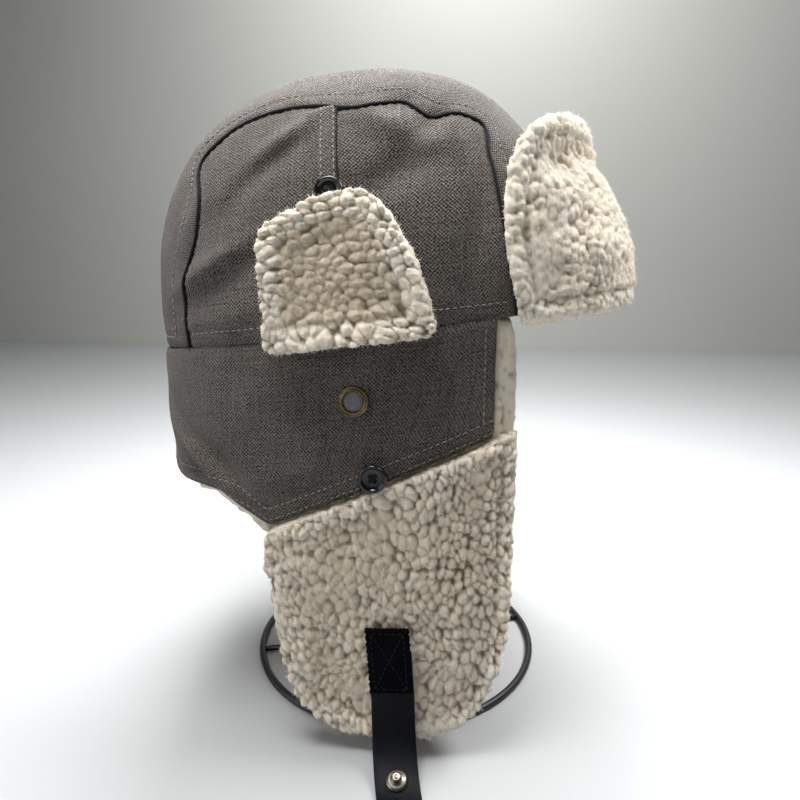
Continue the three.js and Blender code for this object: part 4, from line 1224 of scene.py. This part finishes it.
print("fleece starts")
for sideName, side in bothSides:
    low = sideName.lower()
    fleecePiece("flapFleece" + sideName, "ear_flap_" + low, voxels["flap" + sideName],
                fleeceLooks["flap"], 100 + side, flapRim, sideOut)
    fleecePiece("coverFleece" + sideName, "ear_cover_" + low, voxels["cover" + sideName],
                fleeceLooks["cover"], 200 + side, coverRim, sideOut)
    print("fleece of the", low, "side made")
fleecePiece("visorFleece", "visor", voxels["visor"], fleeceLooks["visor"], 300, visorRim, visorOut)
fleecePiece("liningFleece", "flap_lining", voxels["lining"], fleeceLooks["lining"], 400,
            liningRim, liningOut, liningHold)
print("fleece made")


def canvasBack(name, node, voxel, layWeave):
    # the canvas side of a fleece piece
    obj = softCopy(name, node, voxel, knotShape["rounds"])
    writeUv(obj.data, layWeave(readMillimetres(obj.data)))
    dress(obj, canvas, "canvas", node)


def sideWeave(points):
    return points[:, 1:3].copy()


def visorWeave(points):
    turn = np.arctan2(points[:, 0], -(points[:, 1] + visorTurn["centre"]))
    return np.stack([turn * visorTurn["radius"], points[:, 2]], axis=1)


for sideName, side in bothSides:
    canvasBack("coverBack" + sideName, "ear_cover_back_" + sideName.lower(), voxels["coverBack"], sideWeave)
canvasBack("visorBack", "visor_back", voxels["visorBack"], visorWeave)
print("canvas backs made")

# Stitches: a row of small raised threads along a line on the cloth
stitchShape = {"length": 2.3, "gap": 0.9, "width": 0.62, "proud": 0.12}
patchStitchShape = {"length": 2.1, "gap": 0.6, "width": 0.6, "proud": 0.1}
threadFlatness = 1.2  # a stitch's width over its height
shortest = 0.3  # of a whole stitch; a shorter step gets none


def stitchRows(name, rows, material, slot, shape=stitchShape):
    bm = bmesh.new()
    pitch = shape["length"] + shape["gap"]
    for line, faces in rows:
        both = evenly(np.hstack([line, faces]), pitch)
        for a, b in zip(both, both[1:]):
            at = (a[:3] + b[:3]) / 2
            along = b[:3] - a[:3]
            size = np.linalg.norm(along)
            if size < pitch * shortest:
                continue
            along = along / size
            out = a[3:] / np.linalg.norm(a[3:])
            across = np.cross(out, along)
            across /= np.linalg.norm(across)
            out = np.cross(along, across)
            half = shape["length"] / 2 * size / pitch
            columns = np.column_stack([along * half, across * shape["width"] / 2,
                                       out * shape["width"] / (2 * threadFlatness)])
            matrix = Matrix.Identity(4)
            for r in range(3):
                for c in range(3):
                    matrix[r][c] = columns[r][c] * inMetres
                matrix[r][3] = (at[r] + out[r] * shape["proud"]) * inMetres
            bmesh.ops.create_uvsphere(bm, u_segments=6, v_segments=4, radius=1, matrix=matrix)
    bmesh.ops.recalc_face_normals(bm, faces=bm.faces)
    mesh = meshFrom(bm, name)
    shadeSmooth(mesh)
    return dress(addObject(name, mesh), material, slot)


def crownLine(p, n):  # places in the row and the way that each faces
    return crownToRow(p), crownToRow(p + n) - crownToRow(p)


def crownRow(points, side, above):  # points seen from the side, laid on a side panel
    line = spline(points, 1.0)
    p, n = panelSurface(line[:, 0], line[:, 1], side, above)
    return crownLine(p, n)


def stripRow(side):  # the line of stitches on the strip, outside the piping
    turn = np.arctan2(pipingRoute[:, 1], pipingRoute[:, 0])
    keep = (turn > 0.06) & (turn < math.pi - 0.06)
    y, z, turn = pipingRoute[keep, 0], pipingRoute[keep, 1], turn[keep]
    x = (crownX(y, z, 0) - foldLift(crownFolds, 0, y, z)) - stripShape["stitchInset"]
    r = onCrownRay(x, turn)
    p = np.stack([side * x, r * np.cos(turn), r * np.sin(turn)], axis=1)
    n = crownNormal(p)
    held = seamFall(np.full_like(x, stripShape["stitchAt"]), stripShape["foldReach"])
    p[:, 0] += side * foldLift(crownFolds, side, p[:, 1], p[:, 2]) * held
    return crownLine(p + n * (slack(p, stripShape["slackSeed"]) * 0.7 + 0.1)[:, None], n)


def stripHemRow(end):  # across the strip, above its seam with the band
    x = np.linspace(-70, 70, 120)
    turn = np.full_like(x, 0.064 if end > 0 else math.pi - 0.064)
    r = onCrownRay(x, turn)
    p = np.stack([x, r * np.cos(turn), r * np.sin(turn)], axis=1)
    n = crownNormal(p)
    return crownLine(p + n * (slack(p, stripShape["slackSeed"]) * 0.55 + 0.05)[:, None], n)


def bandRow(toEdge):  # along the band's lower edge
    angle = bandAngles(500)
    low, below, _ = bandPoint(angle, np.ones_like(angle), bandShape["grow"])
    p, _, _ = bandPoint(angle, 1 - toEdge / bandSlant(low[:, 1]) / below, bandShape["grow"])
    n = wallNormal(p)
    eased = slack(p, bandShape["slackSeed"]) * bandShape["slack"] * np.clip(toEdge / 9, 0.15, 1)
    return hatToRow(p + n * (eased + 0.1)[:, None]), n


def bandFrontRow(side):  # down the band's front edge, three columns in from it
    angle = bandAngles(bandShape["cols"] + 1)[3 if side < 0 else -4]
    rows = []
    for share in np.linspace(0.06, 0.86, 40):
        p, _, _ = bandPoint(np.array([angle]), np.array([share]), bandShape["grow"])
        rows.append(np.concatenate([p[0], wallNormal(p)[0]]))
    rows = np.array(rows)
    return hatToRow(rows[:, :3]), rows[:, 3:]


# Rows on a side panel as seen from the side: two along the ear seam, and the hem
earRows = [[(-5.3, 2), (-5.3, 95)], [(0.2, 2), (0.2, 96.5)]]
hemRow = [(72, hemLine), (-72.5, hemLine)]

for sideName, side in bothSides:
    seamRows = [crownRow(row, side, earSeam["rise"]) for row in earRows]
    hemRows = [crownRow(hemRow, side, 0.0)]
    stitchRows("panelStitch" + sideName, seamRows + hemRows, threadGrey, "canvas")
    stitchRows("stripStitch" + sideName, [stripRow(side)], threadGrey, "canvas")
stitchRows("stripHemStitch", [stripHemRow(1), stripHemRow(-1)], threadGrey, "canvas")
bandRows = [bandRow(2.0), bandRow(7.2), bandFrontRow(-1), bandFrontRow(1)]
stitchRows("bandStitch", bandRows, threadGrey, "canvas")
print("stitches made")


# Straps: hang from the flap, turn outward and lie on the floor
strapShape = {"y": -22.9, "top": -142.0, "width": 20.2, "thickness": 2.0, "length": 85.0, "lean": 0.066,
              "bend": 30.0, "bendLean": -0.06, "bendCurve": 0.0031, "endRound": 6.0, "gap": 0.35, "flap": 5.0,
              "floor": -197.0, "fastener": 60.0, "sidePower": 0.32, "facePower": 0.45, "crown": 0.05}
patchShape = {"width": 20.0, "thickness": 1.5, "top": -129.0, "bottom": -161.8, "inset": 2.6}


def strapStart(side):
    y, z = strapShape["y"], strapShape["top"]
    flat = smooth(np.array(-z), skirtForm["flatFrom"], skirtForm["flatTo"])
    power = hatForm["planPower"] + (skirtForm["flatPower"] - hatForm["planPower"]) * float(flat)
    a = hatForm["halfWidth"] + strapShape["flap"]
    b = hatForm["halfLength"] + skirtForm["longer"] + strapShape["flap"] - skirtForm["tuck"]
    x = a * (1 - (abs(y) / b) ** power) ** (1 / power)
    normal = np.array([side * (x / a) ** (power - 1) / a,
                       math.copysign((abs(y) / b) ** (power - 1) / b, y), 0.0])
    normal /= np.linalg.norm(normal)
    return np.array([side * x, y, z]), normal, np.cross((0, 0, 1), normal) * side


def onStrap(side, along, across, lift):
    place, normal, tangent = strapStart(side)
    along, across, lift = np.broadcast_arrays(*(np.asarray(v, float) for v in (along, across, lift)))
    straight = strapShape["top"] - strapShape["floor"] - strapShape["bend"]
    turn = np.clip((along - straight) / strapShape["bend"], 0, math.pi / 2)
    onFloor = np.clip(along - straight - strapShape["bend"] * math.pi / 2, 0, None)
    radius = strapShape["bend"] - lift
    out = strapShape["gap"] + strapShape["bend"] - radius * np.cos(turn) + onFloor
    z = strapShape["top"] - np.minimum(along, straight) - radius * np.sin(turn)
    z = z - strapShape["lean"] * across * np.cos(turn) ** 2
    bent = np.clip(along - straight, 0, None)
    aside = across - strapShape["lean"] * along - strapShape["bendLean"] * bent
    aside = aside - strapShape["bendCurve"] * bent ** 2
    p = place[:2] + out[..., None] * normal[:2] + aside[..., None] * tangent[:2]
    places = np.concatenate([p, z[..., None]], axis=-1)
    return hatToRow(places.reshape(-1, 3)).reshape(places.shape)


def strap(name, side):
    s = strapShape
    along = np.concatenate([np.linspace(0, s["length"] - s["endRound"], 64)[:-1],
                            s["length"] - s["endRound"] * (1 - np.sin(np.linspace(0, math.pi / 2, 14)))])
    near = np.clip((along - s["length"] + s["endRound"]) / s["endRound"], 0, 1)
    half = s["width"] / 2 - s["endRound"] * (1 - np.sqrt(1 - near ** 2))
    turns = np.linspace(0, 2 * math.pi, 41)
    c, sn = np.cos(turns), np.sin(turns)
    across = np.sign(c) * np.abs(c) ** s["sidePower"]
    lift = np.sign(sn) * np.abs(sn) ** s["facePower"]
    acrossAll = half[:, None] * across[None, :]
    crown = 1 + s["crown"] * np.cos(across * math.pi / 2)[None, :]
    liftAll = s["thickness"] / 2 * (1 + lift[None, :] * 0.98 * crown)
    lattice = onStrap(side, along[:, None], acrossAll, liftAll)
    lattice[:, -1] = lattice[:, 0]
    uv = np.stack([acrossAll, np.broadcast_to(along[:, None], acrossAll.shape)], axis=2)
    mesh = gridMesh(name, lattice, uv)
    sealed(mesh)
    return addObject(name, mesh)


def patch(name, side):
    p = patchShape
    length = p["top"] - p["bottom"]
    u = np.linspace(-1, 1, 41)
    v = np.linspace(0, 1, 73)
    wave = 0.22 * np.sin(v * 61) + 0.18 * np.sin(v * 103 + side)  # its cut edges waver a little
    across = (p["width"] / 2 + wave)[:, None] * u[None, :]
    down = (1 - v)[:, None] * length + 0.2 * np.sin(u * 33)[None, :] * (np.abs(v - 0.5) > 0.48)[:, None]
    along = down - (p["top"] - strapShape["top"])
    toSide = (1 - np.abs(u))[None, :] * p["width"] / 2
    edge = np.minimum(toSide, np.minimum(v, 1 - v)[:, None] * length)
    lift = strapShape["thickness"] + strapShape["gap"] + p["thickness"] * np.clip(0.55 + edge * 0.5, 0, 1)
    lift = lift - 0.25 * seamFall(np.abs(edge - p["inset"]), 0.5)
    lift = lift + 0.12 * np.sin(along * 0.6) * np.clip(edge / 3, 0, 1)
    lattice = onStrap(side, along, across, lift)
    uv = np.stack([across, along + 0 * across], axis=2)
    return clothSheet(name, lattice, hatToRow([[0, -20, -150]])[0], p["thickness"] * 0.8, uv)


def patchRows(side):  # a box of stitches with a cross in it
    p = patchShape
    length = p["top"] - p["bottom"]
    w, top, bottom = p["width"] / 2 - p["inset"], p["inset"], length - p["inset"]
    corners = [(-w, top), (w, top), (w, bottom), (-w, bottom), (-w, top)]
    lines = list(zip(corners, corners[1:])) + [((-w, top), (w, bottom)), ((w, top), (-w, bottom))]
    rows = []
    for (a0, d0), (a1, d1) in lines:
        t = np.linspace(0, 1, 30)
        across, down = a0 + (a1 - a0) * t, d0 + (d1 - d0) * t
        along = down - (p["top"] - strapShape["top"])
        lift = strapShape["thickness"] + strapShape["gap"] + p["thickness"] - 0.05
        low = onStrap(side, along, across, lift)
        high = onStrap(side, along, across, lift + 1)
        rows.append((low, high - low))
    return rows


for sideName, side in bothSides:
    low = sideName.lower()
    dress(strap("chinStrap" + sideName, side), leather, "leather", "chin_strap_" + low)
    dress(patch("strapPatch" + sideName, side), webbing, "webbing", "strap_tab_" + low)
    stitchRows("patchStitch" + sideName, patchRows(side), threadBlack, "webbing", patchStitchShape)
print("straps made")

# Buttons and snap rings, each where its solid is, and the straps' fasteners on the straps' curved ends
def facing(node, depth=math.inf):  # base and axis of a round part, from its solid's outermost points
    points = readMillimetres(cadNodes[node].data)
    outward = np.abs(points[:, 0])
    points = points[outward > outward.max() - depth]
    middle = points.mean(axis=0)
    axis = np.linalg.svd(points - middle, full_matrices=False)[2][2]
    axis = axis * np.sign(axis[0] * middle[0])
    return middle + axis * ((points - middle) @ axis).min(), axis


buttonShape = {"profile": [(0, 0), (5.2, 0), (6.1, 0.7), (6.35, 1.5), (6.25, 2.3), (5.9, 2.85), (5.5, 3.0),
                           (5.1, 2.9), (4.75, 2.5), (4.5, 2.05), (4.1, 1.9), (2.2, 2.0), (0, 2.05)],
               "spread": 1.05, "thread": 0.42, "threadAt": 2.15, "threadArch": 0.55, "threadShift": 0.33,
               "shank": 5.0, "shankRadius": 1.15, "dishDepth": 6.0}
ringShape = {"profile": [(4.5, 0), (6.6, 0), (6.8, 0.3), (6.75, 0.65), (6.5, 0.85), (6.2, 0.7), (6.0, 0.5),
                         (5.75, 0.62), (5.5, 0.92), (5.2, 1.0), (4.85, 0.85), (4.6, 0.5), (4.5, 0)],
             "cloth": [(0, 0.5), (2.5, 0.45), (4.2, 0.28), (4.65, 0.0), (0, -0.3)]}
studShape = {"flange": 4.8,
             "profile": [(0, 0), (4.6, 0), (4.8, 0.2), (4.7, 0.6), (3.4, 0.9), (2.4, 1.05), (1.9, 1.4),
                         (1.75, 1.9), (2.0, 2.5), (2.15, 2.9), (2.0, 3.3), (1.4, 3.6), (0.8, 3.35),
                         (0, 3.25)]}
socketShape = {"flange": 5.6,
               "profile": [(0, 0.5), (0, 0), (5.4, 0), (5.6, 0.3), (5.6, 1.3), (5.2, 2.1), (4.4, 2.55),
                           (3.2, 2.6), (2.5, 2.45), (2.4, 2.2), (2.4, 0.5), (0, 0.5)]}


def axesFor(axis):
    axis = Vector(axis).normalized()
    across = axis.cross(Vector((0, 0, 1)))
    across = across.normalized() if across.length > 0.1 else Vector((1, 0, 0))
    return np.array(across), np.array(axis.cross(across))


def button(name, node, onShank):
    base, axis = facing(node, buttonShape["dishDepth"] if onShank else math.inf)
    dress(turned(name, buttonShape["profile"], base, axis, 40), buttonGloss, "button", node)
    across, up = axesFor(axis)
    top = base + axis * buttonShape["threadAt"]
    spread = buttonShape["spread"] * 1.5
    arch, apart = buttonShape["threadArch"], buttonShape["threadShift"]
    threads = []
    for i, (a, b) in enumerate(((1, 1), (1, -1))):
        ends = [top + across * spread * s * a + up * spread * s * b + axis * (arch - 0.5 * abs(s) ** 3)
                for s in np.linspace(-1, 1, 13)]
        for shift in (-apart, apart):
            line = [e + (across * b - up * a) * shift for e in ends]
            threads.append(tube(f"thread{i}{shift}", line, buttonShape["thread"], 7))
    if onShank:
        line = [base + axis * (d + 0.1) for d in np.linspace(-buttonShape["shank"], 0, 5)]
        threads.append(tube("shank", line, buttonShape["shankRadius"], 9))
    dress(joined(name + "Thread", threads), threadBlack, "button")


def strapPlace(side, flangeRadius):  # where a fastener sits on the curved end of a strap
    s = strapShape
    lift = s["thickness"] + s["gap"] + flangeRadius ** 2 / 2 / (s["bend"] - s["thickness"])
    low = onStrap(side, s["fastener"], 0.0, lift)
    return low, onStrap(side, s["fastener"], 0.0, lift + 1) - low


for sideName, side in bothSides:
    low = sideName.lower()
    button("buttonUpper" + sideName, "button_upper_" + low, False)
    button("buttonLower" + sideName, "button_lower_" + low, True)
    base, axis = facing("snap_ring_" + low)
    dress(turned("snapRing" + sideName, ringShape["profile"], base, axis, 48), ringBrass, "brass",
          "snap_ring_" + low)
    dress(turned("snapCloth" + sideName, ringShape["cloth"], base, axis, 24), ringCloth, "canvas")
base, axis = strapPlace(-1, studShape["flange"])
dress(turned("strapStud", studShape["profile"], base, axis, 40), studMetal, "brass", "snap_stud_right")
base, axis = strapPlace(1, socketShape["flange"])
dress(turned("strapSocket", socketShape["profile"], base, axis, 40), studMetal, "brass", "snap_socket_left")
print("buttons and snaps made")

# Stand: a painted wire ring with two bars, a hub, a post and a small head ring
standShape = {"ring": 82.2, "wire": 1.9, "barWire": 1.5, "barTurn": 0.358, "hub": 11.0, "hubHeight": 5.0,
              "post": 3.0, "head": 30.0, "headWire": 2.0}


def circle(radius, height, count):
    turns = np.linspace(0, 2 * math.pi, count, endpoint=False)
    return np.stack([radius * np.cos(turns), radius * np.sin(turns), np.full_like(turns, height)], axis=1)


def bar(reach, height, turn):
    along = np.linspace(-reach, reach, 5)
    return np.stack([along * math.cos(turn), along * math.sin(turn), np.full_like(along, height)], axis=1)


s = standShape
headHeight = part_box("stand")[1][2] * inMillimetres - s["headWire"]
standParts = [tube("ring", circle(s["ring"], s["wire"], 120), s["wire"], 14, True)]
quarterTurn = math.pi / 2
for k in (0, 1):
    line = bar(s["ring"], s["wire"], s["barTurn"] + k * quarterTurn)
    standParts.append(tube("bar", line, s["barWire"], 14))
standParts.append(tube("headRing", circle(s["head"], headHeight, 64), s["headWire"], 12, True))
for k in (0, 1):
    standParts.append(tube("headBar", bar(s["head"], headHeight, k * quarterTurn), s["headWire"], 12))
hubProfile = [(0, 0), (s["hub"] - 0.6, 0), (s["hub"], 0.6), (s["hub"], s["hubHeight"] - 1),
              (s["hub"] - 1, s["hubHeight"]), (s["post"], s["hubHeight"] + 0.2), (s["post"], headHeight),
              (0, headHeight)]
standParts.append(turned("hub", hubProfile, (0, 0, 0), (0, 0, 1), 32))
dress(joined("wireStand", standParts), standPaint, "stand_paint", "stand")
print("stand made")
